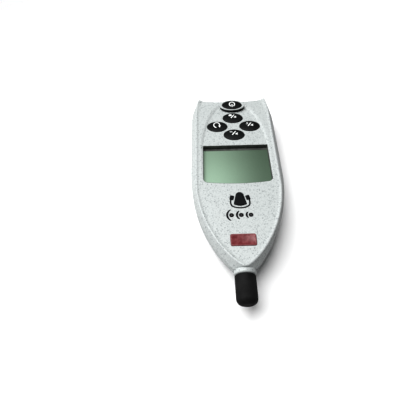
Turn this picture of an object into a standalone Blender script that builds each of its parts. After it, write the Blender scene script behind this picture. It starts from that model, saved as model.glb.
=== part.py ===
"""Handheld sound level meter: tapered two-part case, green display, oval keys and a capped microphone tip.

The meter lies on its back with its face up. +Z is up, the microphone tip points along -Y, and the
origin is the middle of the footprint on the table. Every length is in metres.
"""
import math

import bmesh
import bpy

# ---------------------------------------------------------------- driving dimensions
GAP = 0.0003                    # gap between pieces that touch
HALF_WIDTH = 0.0328             # widest line of the case, at the parting line
HALF_LENGTH = 0.0835            # tip end to ear tips is twice this
FACE_Z = 0.0255                 # height of the flat face over the table
PARTING_Z = 0.0185              # where the front and rear shells meet
AXIS_Z = 0.0175                 # height of the microphone axis
TOP_WALL = 0.0024
SIDE_WALL = 0.0022
BACK_WALL = 0.0020
FAR_WALL = 0.0012

# plan outlines: a straight flank, then half width = W (1 - t^2)^0.75 down to the nose
NOSE_POWER = 0.75
CREST_HALF = 0.0293
CREST_NOSE = (0.0, 0.0633)      # y where the crest starts to narrow, length of the nose from there
INNER_HALF = 0.0271
INNER_NOSE = (0.0, 0.0610)
WIDE_NOSE = (0.010, 0.0780)
NOSE_END_Y = -0.0630
FAR_START_Y = 0.0600            # the flanks draw in beyond this, by FAR_DRAW at the ear tips
CREST_FAR_DRAW = 0.0023
INNER_FAR_DRAW = 0.0042
WIDE_FAR_DRAW = 0.0043
FAR_END_Y = 0.0808              # far edge between the ears
EAR_REACH = HALF_LENGTH - FAR_START_Y
EAR_X = 0.0270

# cross section: walls bow out from the crest to WALL_Z, stay upright to WAIST_Z, then round into the back
WALL_Z = 0.0200
WAIST_Z = 0.0170
WALL_BOW = (0.80, 0.45)         # bend point of the bow, as shares of its width and its height
BACK_NOSE = (-0.0150, 0.0480, 0.0103)   # y where the back starts to rise, length, rise
BACK_FAR = (0.0740, 0.0075, 0.0012)
BACK_POWER = (4.6, 2.3)         # superellipse exponents of the back: flanks, nose end
BACK_SINK = 0.00035             # flattens the middle of the back

RIM_HEIGHT = 0.0009             # rim over the shoulders
RIM_EDGE = 0.00025
EAR_RISE = 0.0009               # further rise of the rim at the ears
SHOULDER_RISE = 0.0015          # shoulders over the face, at the far end
SHOULDER_START_Y = -0.0020

PANEL_CENTRE_Y = 0.0230         # half ellipse that bounds the sunken key panel
PANEL_HALF = (0.0260, 0.0580)
PANEL_SLOPE = 0.0010

WINDOW_HALF = 0.0240
WINDOW_FAR_Y = 0.0320
WINDOW_NEAR_Y = -0.0022
WINDOW_BULGE = 0.0013
WINDOW_CORNER = 0.0035
BEZEL_DEPTH = 0.0025

KEY_HALF = (0.00775, 0.00545)
KEY_TRAVEL = 0.0008
KEY_CLEARANCE = 0.00035
KEY_PLACES = {
    "key_upper": (0.0, 0.0614),
    "key_left": (-0.0126, 0.0520),
    "key_right": (0.0126, 0.0520),
    "key_lower": (0.0, 0.0428),
}
POWER_PLACE = (0.0, 0.0737)
POWER_HALF = (0.00775, 0.00485)
BOSS_HALF = (0.0100, 0.0060)
BOSS_HEIGHT = 0.0030
KEY_BOTTOM_Z = FACE_Z - 0.0044

BOARD_TOP_Z = FACE_Z - 0.0072
BOARD_THICKNESS = 0.0012
LAMP_RADIUS = 0.00152
LAMP_PLACES = [(-0.0062, -0.0287), (0.0, -0.0287), (0.0062, -0.0287)]

BADGE_CENTRE = (0.0, -0.0463)
BADGE_HALF = (0.0079, 0.0040)
BADGE_CORNER = 0.0012
BADGE_POCKET = 0.0005

TUBE_RADIUS = 0.0046
COLLAR_RADIUS = 0.0074
COLLAR_BORE = 0.0050
CAP_RADIUS = 0.00635
CAP_BORE = 0.0050
CAP_START_Y = -0.0663
CAP_ROOF = 0.0022
CAP_CORNER = 0.0045
COLLAR_REACH = (0.0633, 0.0660) # distances along -Y
TUBE_BORE = 0.0030
TUBE_REACH = (0.0545, 0.0575, 0.0765)
CAPSULE_LENGTH = 0.0040

CELL_RADIUS = 0.00725           # AA cell
CELL_LENGTH = 0.0495
CELL_X = 0.0076
CELL_Z = 0.0094
CELL_BUTTON = 0.0010
BAY_HALF = 0.0170
BAY_Y = (0.0185, 0.0775)
BAY_WALL = 0.0012
CONTACT = 0.0004
DOOR_HALF = 0.0160
DOOR_NEAR_Y = 0.0160
DOOR_THICKNESS = 0.0018
DOOR_LIP = 0.0008               # side lips of the door run in grooves
DOOR_LEDGE = 0.0008

SCREW_PLACES = {
    "case_screw_1": (-0.0250, 0.0680),
    "case_screw_2": (0.0250, 0.0680),
    "case_screw_3": (-0.0215, -0.0150),
    "case_screw_4": (0.0215, -0.0150),
}
SCREW_RADIUS = 0.00125
SCREW_HEAD_RADIUS = 0.0023
SCREW_SEAT_Z = 0.0060
SCREW_END_Z = 0.0222
POST_RADIUS = 0.0026
COLUMN_RADIUS = 0.0033

# colour, roughness, metallic
FINISHES = {
    "speckled_plastic": ((0.72, 0.76, 0.75), 0.45, 0.0),
    "black_plastic": ((0.015, 0.017, 0.017), 0.45, 0.0),
    "key_rubber": ((0.014, 0.017, 0.016), 0.40, 0.0),
    "cap_rubber": ((0.012, 0.012, 0.012), 0.60, 0.0),
    "clear_acrylic": ((0.85, 0.90, 0.88), 0.05, 0.0),
    "display_glass": ((0.20, 0.36, 0.22), 0.15, 0.0),
    "light_guide": ((0.85, 0.86, 0.82), 0.30, 0.0),
    "circuit_board": ((0.02, 0.16, 0.07), 0.40, 0.0),
    "chip_black": ((0.02, 0.02, 0.022), 0.50, 0.0),
    "switch_plastic": ((0.05, 0.05, 0.055), 0.45, 0.0),
    "lamp_body": ((0.80, 0.78, 0.70), 0.35, 0.0),
    "badge_red": ((0.16, 0.012, 0.018), 0.35, 0.0),
    "microphone_metal": ((0.60, 0.61, 0.62), 0.30, 1.0),
    "cell_jacket": ((0.10, 0.11, 0.13), 0.35, 0.2),
    "contact_nickel": ((0.70, 0.68, 0.62), 0.25, 1.0),
    "screw_steel": ((0.35, 0.36, 0.38), 0.30, 1.0),
    "contact_rubber": ((0.30, 0.30, 0.32), 0.60, 0.0),
}


# ---------------------------------------------------------------- scene helpers
def clear_scene():
    for thing in list(bpy.data.objects):
        bpy.data.objects.remove(thing, do_unlink=True)


def new_collection(name):
    collection = bpy.data.collections.new(name)
    bpy.context.scene.collection.children.link(collection)
    return collection


def finish(name):
    """The Principled material of a finish, made once."""
    material = bpy.data.materials.get(name)
    if material is None:
        colour, roughness, metallic = FINISHES[name]
        material = bpy.data.materials.new(name)
        material.use_nodes = True
        shader = material.node_tree.nodes["Principled BSDF"]
        shader.inputs["Base Color"].default_value = (*colour, 1.0)
        shader.inputs["Roughness"].default_value = roughness
        shader.inputs["Metallic"].default_value = metallic
        material.diffuse_color = (*colour, 1.0)
    return material


def add_object(name, data, look=None, place=(0, 0, 0)):
    """Link data as an object: a part when it has a look, otherwise a hidden cutter."""
    thing = bpy.data.objects.new(name, data)
    thing.location = place
    if look:
        data.materials.append(finish(look))
        PARTS.objects.link(thing)
    else:
        thing.hide_render = True
        thing.display_type = "WIRE"
        CUTTERS.objects.link(thing)
    return thing


def mesh_of(name, bm):
    mesh = bpy.data.meshes.new(name)
    bmesh.ops.recalc_face_normals(bm, faces=bm.faces[:])
    bm.to_mesh(mesh)
    bm.free()
    return mesh


def smooth(thing, angle=35):
    """Shade a mesh object smooth, with its corners kept sharp."""
    thing.data.shade_smooth()
    thing.data.set_sharp_from_angle(angle=math.radians(angle))


def box(name, low, high, look=None):
    """A box between two corners."""
    bm = bmesh.new()
    bmesh.ops.create_cube(bm, size=1.0)
    size = [b - a for a, b in zip(low, high)]
    middle = [(a + b) / 2 for a, b in zip(low, high)]
    bmesh.ops.scale(bm, vec=size, verts=bm.verts)
    bmesh.ops.translate(bm, vec=middle, verts=bm.verts)
    return add_object(name, mesh_of(name, bm), look)


def cylinder(name, radius, low_z, high_z, centre=(0, 0), look=None, stretch=1.0, sides=24, top_radius=None):
    """An upright cylinder or cone, drawn in along Y by stretch for an ellipse."""
    bm = bmesh.new()
    bmesh.ops.create_cone(bm, cap_ends=True, segments=sides, radius1=radius,
                          radius2=top_radius or radius, depth=high_z - low_z)
    bmesh.ops.scale(bm, vec=(1, stretch, 1), verts=bm.verts)
    bmesh.ops.translate(bm, vec=(*centre, (low_z + high_z) / 2), verts=bm.verts)
    return add_object(name, mesh_of(name, bm), look)


def turned(name, profile, look=None, place=(0, 0, 0), steps=28, stretch=1.0, along_y=False):
    """A profile of (radius, height) points from top to bottom, turned about its axis."""
    mesh = bpy.data.meshes.new(name)
    points = [(radius, 0, height) for radius, height in profile]
    mesh.from_pydata(points, [(i, i + 1) for i in range(len(points) - 1)], [])
    thing = add_object(name, mesh, look, place)
    thing.scale = (1, stretch, 1)
    if along_y:
        thing.rotation_euler = (math.radians(90), 0, 0)
    screw = thing.modifiers.new("turn", "SCREW")
    screw.steps = steps
    screw.render_steps = steps
    screw.use_merge_vertices = True
    screw.merge_threshold = 0.00001
    screw.use_smooth_shade = True
    return thing


def plate(name, outlines, low_z, high_z, look=None):
    """A flat sheet between two heights, from closed outlines; the first is outside, the rest are holes."""
    curve = bpy.data.curves.new(name, "CURVE")
    curve.dimensions = "2D"
    curve.fill_mode = "BOTH"
    curve.extrude = (high_z - low_z) / 2
    for outline in outlines:
        spline = curve.splines.new("POLY")
        spline.points.add(len(outline) - 1)
        for point, (x, y) in zip(spline.points, outline):
            point.co = (x, y, 0, 1)
        spline.use_cyclic_u = True
    return add_object(name, curve, look, (0, 0, (low_z + high_z) / 2))


def as_mesh(thing):
    """Turn a curve object into a welded mesh object of the same name and place."""
    name = thing.name
    depsgraph = bpy.context.evaluated_depsgraph_get()
    mesh = bpy.data.meshes.new_from_object(thing.evaluated_get(depsgraph))
    bm = bmesh.new()
    bm.from_mesh(mesh)
    bmesh.ops.remove_doubles(bm, verts=bm.verts, dist=0.00001)
    bmesh.ops.recalc_face_normals(bm, faces=bm.faces[:])
    bm.to_mesh(mesh)
    bm.free()
    collection = thing.users_collection[0]
    placed = thing.matrix_world.copy()
    hidden = thing.hide_render
    bpy.data.objects.remove(thing, do_unlink=True)
    solid = bpy.data.objects.new(name, mesh)
    solid.matrix_world = placed
    solid.hide_render = hidden
    solid.display_type = "WIRE" if hidden else "TEXTURED"
    collection.objects.link(solid)
    return solid


def combine(thing, tools, operation):
    """Cut, join or intersect a part with each tool in turn."""
    for tool in tools:
        step = thing.modifiers.new(f"{operation.lower()}_{tool.name}", "BOOLEAN")
        step.operation = operation
        step.solver = "EXACT"
        step.object = tool


def ellipse(half, centre=(0, 0), count=40, grow=0.0):
    """Points of an ellipse, optionally grown outward."""
    angles = [math.tau * i / count for i in range(count)]
    return [(centre[0] + (half[0] + grow) * math.cos(a), centre[1] + (half[1] + grow) * math.sin(a))
            for a in angles]


def arc(centre, radius, start, end, count):
    """Points of a circular arc, in degrees."""
    angles = [math.radians(start + (end - start) * i / (count - 1)) for i in range(count)]
    return [(centre[0] + radius * math.cos(a), centre[1] + radius * math.sin(a)) for a in angles]


def rounded_box(half, centre, corner, count=5):
    """Outline of a rectangle with round corners."""
    points = []
    for sx, sy, start in ((1, 1, 0), (-1, 1, 90), (-1, -1, 180), (1, -1, 270)):
        middle = (centre[0] + sx * (half[0] - corner), centre[1] + sy * (half[1] - corner))
        points += arc(middle, corner, start, start + 90, count)
    return points


# ---------------------------------------------------------------- case form
def nose_half(y, half, nose):
    """Half width of an outline that narrows along the nose."""
    start, length = nose
    t = min(max((start - y) / length, 0.0), 1.0)
    return half * (1.0 - t * t) ** NOSE_POWER


def far_ratio(y):
    """0 on the flanks, rising to 1 at the ear tips."""
    return max((y - FAR_START_Y) / EAR_REACH, 0.0)


def crest_half(y):
    return nose_half(y, CREST_HALF, CREST_NOSE) - CREST_FAR_DRAW * far_ratio(y) ** 3


def inner_half(y):
    return nose_half(y, INNER_HALF, INNER_NOSE) - INNER_FAR_DRAW * far_ratio(y) ** 1.5


def wide_half(y):
    return nose_half(y, HALF_WIDTH, WIDE_NOSE) - WIDE_FAR_DRAW * far_ratio(y) ** 3


def face_height(y):
    """Height of the shoulders, which rise from the face toward the far end."""
    t = max((y - SHOULDER_START_Y) / (FAR_END_Y - SHOULDER_START_Y), 0.0)
    return FACE_Z + SHOULDER_RISE * t ** 0.6


def middle_height(y):
    """Height of the face on the centre line, which climbs to the rim at the very nose."""
    start = INNER_NOSE[0] - INNER_NOSE[1]
    climb = min(max((start - y) / (CREST_NOSE[1] - INNER_NOSE[1]), 0.0), 1.0)
    return face_height(y) + RIM_HEIGHT * climb


def crest_height(y):
    return face_height(y) + RIM_HEIGHT + EAR_RISE * far_ratio(y) ** 2


def back_height(y):
    """Height of the back: flat, rising toward the nose and eased at the far edge."""
    nose = min(max((BACK_NOSE[0] - y) / BACK_NOSE[1], 0.0), 1.0)
    far = max((y - BACK_FAR[0]) / BACK_FAR[1], 0.0)
    return BACK_NOSE[2] * nose ** 2 + BACK_FAR[2] * far ** 2


def back_power(y):
    """Exponent of the back's cross section: boxy on the flanks, round at the nose."""
    nose = min(max(y / NOSE_END_Y, 0.0), 1.0)
    return BACK_POWER[0] + (BACK_POWER[1] - BACK_POWER[0]) * nose


def back_curve(half, top_z, bottom_z, power, count):
    """Quarter of a superellipse from the side down to the middle, flattened at the bottom."""
    points = []
    for i in range(1, count + 1):
        angle = math.radians(90 * i / count)
        x = half * max(math.cos(angle), 0.0) ** (2 / power) if i < count else 0.0
        z = top_z - (top_z - bottom_z + BACK_SINK) * math.sin(angle) ** (2 / power)
        points.append((x, max(z, bottom_z)))
    return points


def outer_section(y):
    """Half section of the case, from the middle of the face to the middle of the back."""
    crest = crest_half(y)
    inner = min(inner_half(y), crest - 0.0004)
    wide = max(wide_half(y), crest + 0.0008)
    crest_z = crest_height(y)
    middle_z = middle_height(y)
    points = [(0.0, middle_z), (inner, middle_z), (crest - RIM_EDGE, crest_z)]
    bend = (crest + WALL_BOW[0] * (wide - crest), crest_z - WALL_BOW[1] * (crest_z - WALL_Z))
    for i in range(4):
        u = i / 4
        x = (1 - u) ** 2 * crest + 2 * u * (1 - u) * bend[0] + u * u * wide
        z = (1 - u) ** 2 * crest_z + 2 * u * (1 - u) * bend[1] + u * u * WALL_Z
        points.append((x, z))
    points += [(wide, WALL_Z), (wide, WAIST_Z)]
    return points + back_curve(wide, WAIST_Z, back_height(y), back_power(y), 8)


def cavity_section(y):
    """Half section of the hollow inside the case."""
    top = FACE_Z - TOP_WALL
    crest = crest_half(y) - 0.0012
    wide = wide_half(y) - SIDE_WALL
    points = [(0.0, top), (crest, top), (wide, PARTING_Z + 0.0010), (wide, WAIST_Z)]
    return points + back_curve(wide, WAIST_Z, back_height(y) + BACK_WALL, back_power(y), 6)


def station_list(far_y, near_y, far_count, nose_count):
    """Stations along Y, close together at the ears and at the nose end."""
    stations = [far_y * math.sin(math.radians(90 * (1 - i / far_count))) for i in range(far_count)]
    return stations + [near_y * math.sin(math.radians(90 * i / nose_count)) for i in range(nose_count + 1)]


def loft(name, section, stations):
    """Half of a solid, lofted through a section at each station and mirrored in X."""
    bm = bmesh.new()
    rows = [[bm.verts.new((x, y, z)) for x, z in section(y)] for y in stations]
    for row, after in zip(rows, rows[1:]):
        for i in range(len(row) - 1):
            bm.faces.new((row[i], row[i + 1], after[i + 1], after[i]))
    bm.faces.new(rows[0])
    bm.faces.new(rows[-1])
    thing = add_object(name, mesh_of(name, bm))
    mirror = thing.modifiers.new("mirror", "MIRROR")
    mirror.use_clip = True
    mirror.merge_threshold = 0.00001
    return thing


def far_edge(x):
    """Plan line of the far edge: nearly straight, then out to the ears."""
    return FAR_END_Y + (HALF_LENGTH - FAR_END_Y) * min(abs(x) / EAR_X, 1.0) ** 4


def panel_outline(grow):
    """The sunken key panel: a half ellipse above straight sides."""
    half = (PANEL_HALF[0] + grow, PANEL_HALF[1] + grow)
    count = 28
    angles = [math.pi * i / count for i in range(count + 1)]
    top = [(half[0] * math.cos(a), PANEL_CENTRE_Y + half[1] * math.sin(a)) for a in angles]
    return top + [(-half[0], SHOULDER_START_Y), (half[0], SHOULDER_START_Y)]


def window_outline(grow):
    """The display opening: square far corners, round near corners and a bowed near edge."""
    half = WINDOW_HALF + grow
    far = WINDOW_FAR_Y + grow
    near = WINDOW_NEAR_Y - grow
    corner = WINDOW_CORNER + grow
    right = arc((half - corner, near + corner), corner, 0, -80, 5)
    span = right[-1][0]
    depth = right[-1][1] - (near - WINDOW_BULGE)
    bow = [(span * (1 - i / 4), right[-1][1] - depth * (1 - (1 - i / 4) ** 2)) for i in range(1, 8)]
    left = [(-x, y) for x, y in reversed(right)]
    return [(half, far)] + right + bow + left + [(-half, far)]


def slab(name, outline, low_z, high_z, look=None):
    """A plate as a mesh, for cutting and joining."""
    return as_mesh(plate(name, [outline], low_z, high_z, look))


def panel_cutter():
    """A pocket with sloping sides: two outlines joined by a loft."""
    bm = bmesh.new()
    levels = [(-PANEL_SLOPE * 0.5, FACE_Z), (PANEL_SLOPE * 1.5, FACE_Z + 2 * PANEL_SLOPE)]
    rings = [[bm.verts.new((x, y, z)) for x, y in panel_outline(grow)] for grow, z in levels]
    low, high = rings
    for i in range(len(low)):
        j = (i + 1) % len(low)
        bm.faces.new((low[i], low[j], high[j], high[i]))
    bm.faces.new(low)
    bm.faces.new(high)
    return add_object("cut_panel", mesh_of("cut_panel", bm))


def far_end_cutter():
    """Everything beyond the far edge, with the ears left standing."""
    count = 36
    reach = HALF_WIDTH + 0.003
    line = [(reach * (2 * i / count - 1), far_edge(reach * (2 * i / count - 1))) for i in range(count + 1)]
    outside = [(reach, HALF_LENGTH + 0.010), (-reach, HALF_LENGTH + 0.010)]
    return slab("cut_far_end", line + outside, -0.002, 0.034)


def make_case_body():
    """The outside of the case and the hollow inside it, shared by both shells and the door."""
    outer = loft("case_outside", outer_section, station_list(HALF_LENGTH + 0.004, NOSE_END_Y, 12, 15))
    hollow = loft("case_hollow", cavity_section, station_list(FAR_END_Y - FAR_WALL, NOSE_END_Y + 0.005, 8, 9))
    return outer, hollow


def solid_copy(name, source, look):
    """A part that starts as the evaluated form of a cutter."""
    depsgraph = bpy.context.evaluated_depsgraph_get()
    mesh = bpy.data.meshes.new_from_object(source.evaluated_get(depsgraph))
    mesh.name = name
    mesh.materials.clear()
    return add_object(name, mesh, look)


def hollow_around_posts(name, hollow, radius):
    """The hollow of one shell, with a post left standing at each case screw."""
    room = solid_copy(name, hollow, None)
    posts = [cylinder(f"{name}_{screw}", radius, -0.01, 0.04, place) for screw, place in SCREW_PLACES.items()]
    combine(room, posts, "DIFFERENCE")
    return room


def key_cutters():
    """Openings for the four oval keys and the power key."""
    cutters = []
    low = FACE_Z - TOP_WALL - 0.001
    for name, place in KEY_PLACES.items():
        outline = ellipse(KEY_HALF, place, grow=KEY_CLEARANCE)
        cutters.append(slab(f"cut_{name}", outline, low, FACE_Z + 0.006))
    outline = ellipse(POWER_HALF, POWER_PLACE, grow=KEY_CLEARANCE)
    cutters.append(slab("cut_power", outline, low, FACE_Z + 0.008))
    return cutters


def make_front_shell(outer, hollow, far_end, mic_hole):
    """Upper shell: sunken panel, power boss, window, key, lamp and badge openings, screw posts."""
    shell = solid_copy("front_shell", outer, "speckled_plastic")
    below = box("cut_below_parting", (-0.05, -0.10, -0.01), (0.05, 0.10, PARTING_Z + GAP / 2))
    boss = cylinder("join_boss", BOSS_HALF[0] + 0.0002, FACE_Z - 0.0012, FACE_Z + BOSS_HEIGHT, POWER_PLACE,
                    stretch=BOSS_HALF[1] / BOSS_HALF[0], sides=48, top_radius=BOSS_HALF[0])
    room = hollow_around_posts("front_hollow", hollow, POST_RADIUS)
    pilots = [cylinder(f"pilot_{name}", SCREW_RADIUS + GAP, PARTING_Z - 0.002, SCREW_END_Z + GAP, place, sides=16)
              for name, place in SCREW_PLACES.items()]
    combine(shell, [far_end, panel_cutter(), room, below], "DIFFERENCE")
    combine(shell, [boss], "UNION")
    window = slab("cut_window", window_outline(0.0), FACE_Z - 0.006, FACE_Z + 0.006)
    lamps = [cylinder(f"cut_lamp_{i}", LAMP_RADIUS + GAP, FACE_Z - 0.006, FACE_Z + 0.003, place)
             for i, place in enumerate(LAMP_PLACES)]
    badge = slab("cut_badge", rounded_box([h + GAP for h in BADGE_HALF], BADGE_CENTRE, BADGE_CORNER + GAP),
                 FACE_Z - BADGE_POCKET, FACE_Z + 0.003)
    combine(shell, [window, badge, mic_hole] + lamps + key_cutters() + pilots, "DIFFERENCE")


def make_rear_shell(outer, hollow, far_end, mic_hole):
    """Lower shell: battery opening with grooves for its door, and columns for the case screws."""
    shell = solid_copy("rear_shell", outer, "speckled_plastic")
    above = box("cut_above_parting", (-0.05, -0.10, PARTING_Z - GAP / 2), (0.05, 0.10, 0.05))
    room = hollow_around_posts("rear_hollow", hollow, COLUMN_RADIUS)
    combine(shell, [far_end, room, above], "DIFFERENCE")
    holes = []
    for name, place in SCREW_PLACES.items():
        holes.append(cylinder(f"hole_{name}", SCREW_RADIUS + GAP, 0.001, PARTING_Z + 0.001, place, sides=16))
        holes.append(cylinder(f"seat_{name}", SCREW_HEAD_RADIUS + GAP, -0.001, SCREW_SEAT_Z, place))
    top = DOOR_THICKNESS + GAP
    recess = box("cut_door", (-DOOR_HALF - GAP, DOOR_NEAR_Y - GAP, -0.002), (DOOR_HALF + GAP, 0.10, top + 0.001))
    reach = DOOR_HALF + DOOR_LIP + GAP
    grooves = box("cut_grooves", (-reach, DOOR_NEAR_Y - GAP, DOOR_LEDGE), (reach, 0.10, top))
    combine(shell, [recess, grooves, mic_hole] + holes, "DIFFERENCE")


def make_battery_door(outer, far_end):
    """Flush door on the back that slides out past the far end."""
    door = solid_copy("battery_door", outer, "speckled_plastic")
    reach = DOOR_HALF + DOOR_LIP
    blank = box("keep_door", (-DOOR_HALF, DOOR_NEAR_Y, -0.002), (DOOR_HALF, 0.10, DOOR_THICKNESS))
    lips = box("keep_lips", (-reach, DOOR_NEAR_Y, DOOR_LEDGE + GAP), (reach, 0.10, DOOR_THICKNESS))
    combine(blank, [lips], "UNION")
    combine(door, [blank], "INTERSECT")
    grips = [box(f"cut_grip_{i}", (-0.006, 0.060 + 0.003 * i, -0.001), (0.006, 0.0612 + 0.003 * i, 0.0006))
             for i in range(4)]
    combine(door, [far_end] + grips, "DIFFERENCE")


# ---------------------------------------------------------------- display
def make_display():
    """Bezel, clear window, liquid crystal cell, its two contact strips and the backlight."""
    top = FACE_Z - 0.00015
    plate("display_bezel", [window_outline(-GAP), window_outline(-0.0008)], FACE_Z - BEZEL_DEPTH, top,
          "black_plastic")
    plate("display_window", [window_outline(0.0014)], FACE_Z - 0.0033, FACE_Z - 0.0028, "clear_acrylic")
    plate("display_cell", [window_outline(0.0014)], FACE_Z - 0.0056, FACE_Z - 0.0036, "display_glass")
    low = FACE_Z - 0.0069
    high = FACE_Z - 0.0059
    box("backlight", (-0.0220, 0.0015, low), (0.0220, 0.0285, high), "light_guide")
    for name, y in (("display_strip_far", 0.0306), ("display_strip_near", -0.0006)):
        box(name, (-0.0200, y - 0.0010, low), (0.0200, y + 0.0010, high), "contact_rubber")


# ---------------------------------------------------------------- keys and their switches
def key_profile(half, top_z):
    """Domed head, straight skirt, retaining flange under the wall, and a short plunger."""
    dome = 0.0006
    edge = 0.0003
    ledge_z = FACE_Z - TOP_WALL - GAP
    head = [(half * math.sin(math.radians(a)), top_z - dome * (1 - math.cos(math.radians(a))))
            for a in (0, 30, 55, 76)]
    return head + [
        (half - 0.00005, top_z - dome - edge),
        (half, top_z - dome - 2 * edge),
        (half, ledge_z),
        (half + 0.0008, ledge_z),
        (half + 0.0008, ledge_z - 0.0008),
        (0.0018, ledge_z - 0.0008),
        (0.0018, KEY_BOTTOM_Z),
        (0.0, KEY_BOTTOM_Z),
    ]


def make_key(name, place, half, top_z):
    """A key turned about its press axis and drawn to an oval, with its switch on the board."""
    profile = [(radius, height - KEY_BOTTOM_Z) for radius, height in key_profile(half[0], top_z)]
    turned(name, profile, "key_rubber", (*place, KEY_BOTTOM_Z), stretch=half[1] / half[0])
    switch = name.replace("key", "switch")
    cylinder(switch, 0.0026, BOARD_TOP_Z + GAP, KEY_BOTTOM_Z - KEY_TRAVEL - 0.0002, place,
             "switch_plastic", sides=20)


def make_keys():
    for name, place in KEY_PLACES.items():
        make_key(name, place, KEY_HALF, FACE_Z + 0.0010)
    make_key("power_key", POWER_PLACE, POWER_HALF, FACE_Z + BOSS_HEIGHT + 0.0007)


# ---------------------------------------------------------------- board and what it carries
def board_outline():
    """Board that fills the case between the screw posts and narrows into the nose."""
    half = [(0.0212, 0.0780), (0.0212, -0.0080), (0.0160, -0.0120), (0.0160, -0.0240),
            (0.0130, -0.0340), (0.0070, -0.0450), (0.0055, -0.0520)]
    return half + [(-x, y) for x, y in reversed(half)]


def make_board():
    """Main board, chips, and a lamp with its light guide behind each of the three dots."""
    bottom = BOARD_TOP_Z - BOARD_THICKNESS
    plate("main_board", [board_outline()], bottom, BOARD_TOP_Z, "circuit_board")
    low = BOARD_TOP_Z + GAP
    box("processor_chip", (-0.0050, -0.0200, low), (0.0050, -0.0100, low + 0.0012), "chip_black")
    box("amplifier_chip", (-0.0025, -0.0385, low), (0.0025, -0.0345, low + 0.0014), "chip_black")
    for i, (x, y) in enumerate(LAMP_PLACES, start=1):
        cylinder(f"lamp_{i}", 0.0013, low, low + 0.0011, (x, y), "lamp_body", sides=16)
        foot_z = low + 0.0014
        profile = [(0.0, FACE_Z + 0.0002), (LAMP_RADIUS * 0.6, FACE_Z + 0.0001), (LAMP_RADIUS, FACE_Z - 0.0002),
                   (LAMP_RADIUS, FACE_Z - TOP_WALL - GAP), (LAMP_RADIUS + 0.0007, FACE_Z - TOP_WALL - GAP),
                   (LAMP_RADIUS + 0.0007, foot_z), (0.0, foot_z)]
        turned(f"light_guide_{i}", [(r, z - foot_z) for r, z in profile], "light_guide", (x, y, foot_z), steps=20)


def make_badge():
    """Plain raised bar in the badge pocket."""
    low = FACE_Z - BADGE_POCKET + GAP
    plate("badge", [rounded_box(BADGE_HALF, BADGE_CENTRE, BADGE_CORNER)], low, FACE_Z + 0.0005, "badge_red")


# ---------------------------------------------------------------- microphone tip
def round_shoulder(radius, height, corner, angles):
    """Profile points of a rounded outer edge, from the end face onto the side."""
    return [(radius - corner + corner * math.sin(math.radians(a)), height - corner * (1 - math.cos(math.radians(a))))
            for a in angles]


def make_tip():
    """Collar, tube and capsule on the microphone axis; heights in the profiles are distances along -Y."""
    base, end = COLLAR_REACH
    ring = [(COLLAR_BORE, end)] + round_shoulder(COLLAR_RADIUS, end, 0.0013, (0, 30, 60, 90))
    ring += [(COLLAR_RADIUS, base), (COLLAR_BORE, base), (COLLAR_BORE, end)]
    turned("tip_collar", ring, "speckled_plastic", (0, 0, AXIS_Z), steps=36, along_y=True)

    inner, flange_end, tip = TUBE_REACH
    flange = TUBE_RADIUS + 0.0007
    tube = [(TUBE_BORE, tip), (TUBE_RADIUS, tip), (TUBE_RADIUS, flange_end), (flange, flange_end),
            (flange, inner), (TUBE_BORE, inner), (TUBE_BORE, tip)]
    turned("microphone_tube", tube, "black_plastic", (0, 0, AXIS_Z), along_y=True)

    base = tip + GAP
    end = base + CAPSULE_LENGTH
    capsule = [(0.0, end), (TUBE_RADIUS - 0.0006, end), (TUBE_RADIUS, end - 0.0006), (TUBE_RADIUS, base), (0.0, base)]
    turned("microphone_capsule", capsule, "microphone_metal", (0, 0, AXIS_Z), along_y=True)
    make_cap()
    make_lead()


def make_cap():
    """Round-ended hollow cap that pulls off along the microphone axis."""
    roof = HALF_LENGTH - CAP_ROOF
    profile = [(0.0, HALF_LENGTH)] + round_shoulder(CAP_RADIUS, HALF_LENGTH, CAP_CORNER, range(0, 91, 15))
    profile += [(CAP_RADIUS, -CAP_START_Y), (CAP_BORE, -CAP_START_Y), (CAP_BORE, roof - 0.0008),
                (CAP_BORE - 0.0010, roof), (0.0, roof)]
    turned("tip_cap", profile, "cap_rubber", (0, 0, AXIS_Z), steps=36, along_y=True)


def make_lead():
    """Screened lead from the board, through the tube, to the back of the capsule."""
    start = (-0.0450, BOARD_TOP_Z + 0.0011)
    end = (-0.0762, AXIS_Z)
    count = 16
    curve = bpy.data.curves.new("microphone_lead", "CURVE")
    curve.dimensions = "3D"
    curve.bevel_depth = 0.0006
    curve.bevel_resolution = 2
    curve.use_fill_caps = True
    spline = curve.splines.new("POLY")
    spline.points.add(count - 1)
    for i, point in enumerate(spline.points):
        t = i / (count - 1)
        ease = min(max((t - 0.27) / 0.40, 0.0), 1.0)
        ease = ease * ease * (3 - 2 * ease)
        point.co = (0, start[0] + (end[0] - start[0]) * t, start[1] + (end[1] - start[1]) * ease, 1)
    add_object("microphone_lead", curve, "contact_rubber")


# ---------------------------------------------------------------- battery bay
def make_cell(index, x, base_y, turn):
    """An AA cell lying along Y, turned so that its button points away from its base."""
    high = CELL_LENGTH
    tip = high + CELL_BUTTON
    profile = [(0.0, tip), (0.0027, tip), (0.0027, high), (CELL_RADIUS - 0.0005, high),
               (CELL_RADIUS, high - 0.0005), (CELL_RADIUS, 0.0005), (CELL_RADIUS - 0.0005, 0.0), (0.0, 0.0)]
    cell = turned(f"battery_cell_{index}", profile, "cell_jacket", (x, base_y, CELL_Z), steps=28)
    cell.rotation_euler = (math.radians(turn), 0, 0)


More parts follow.
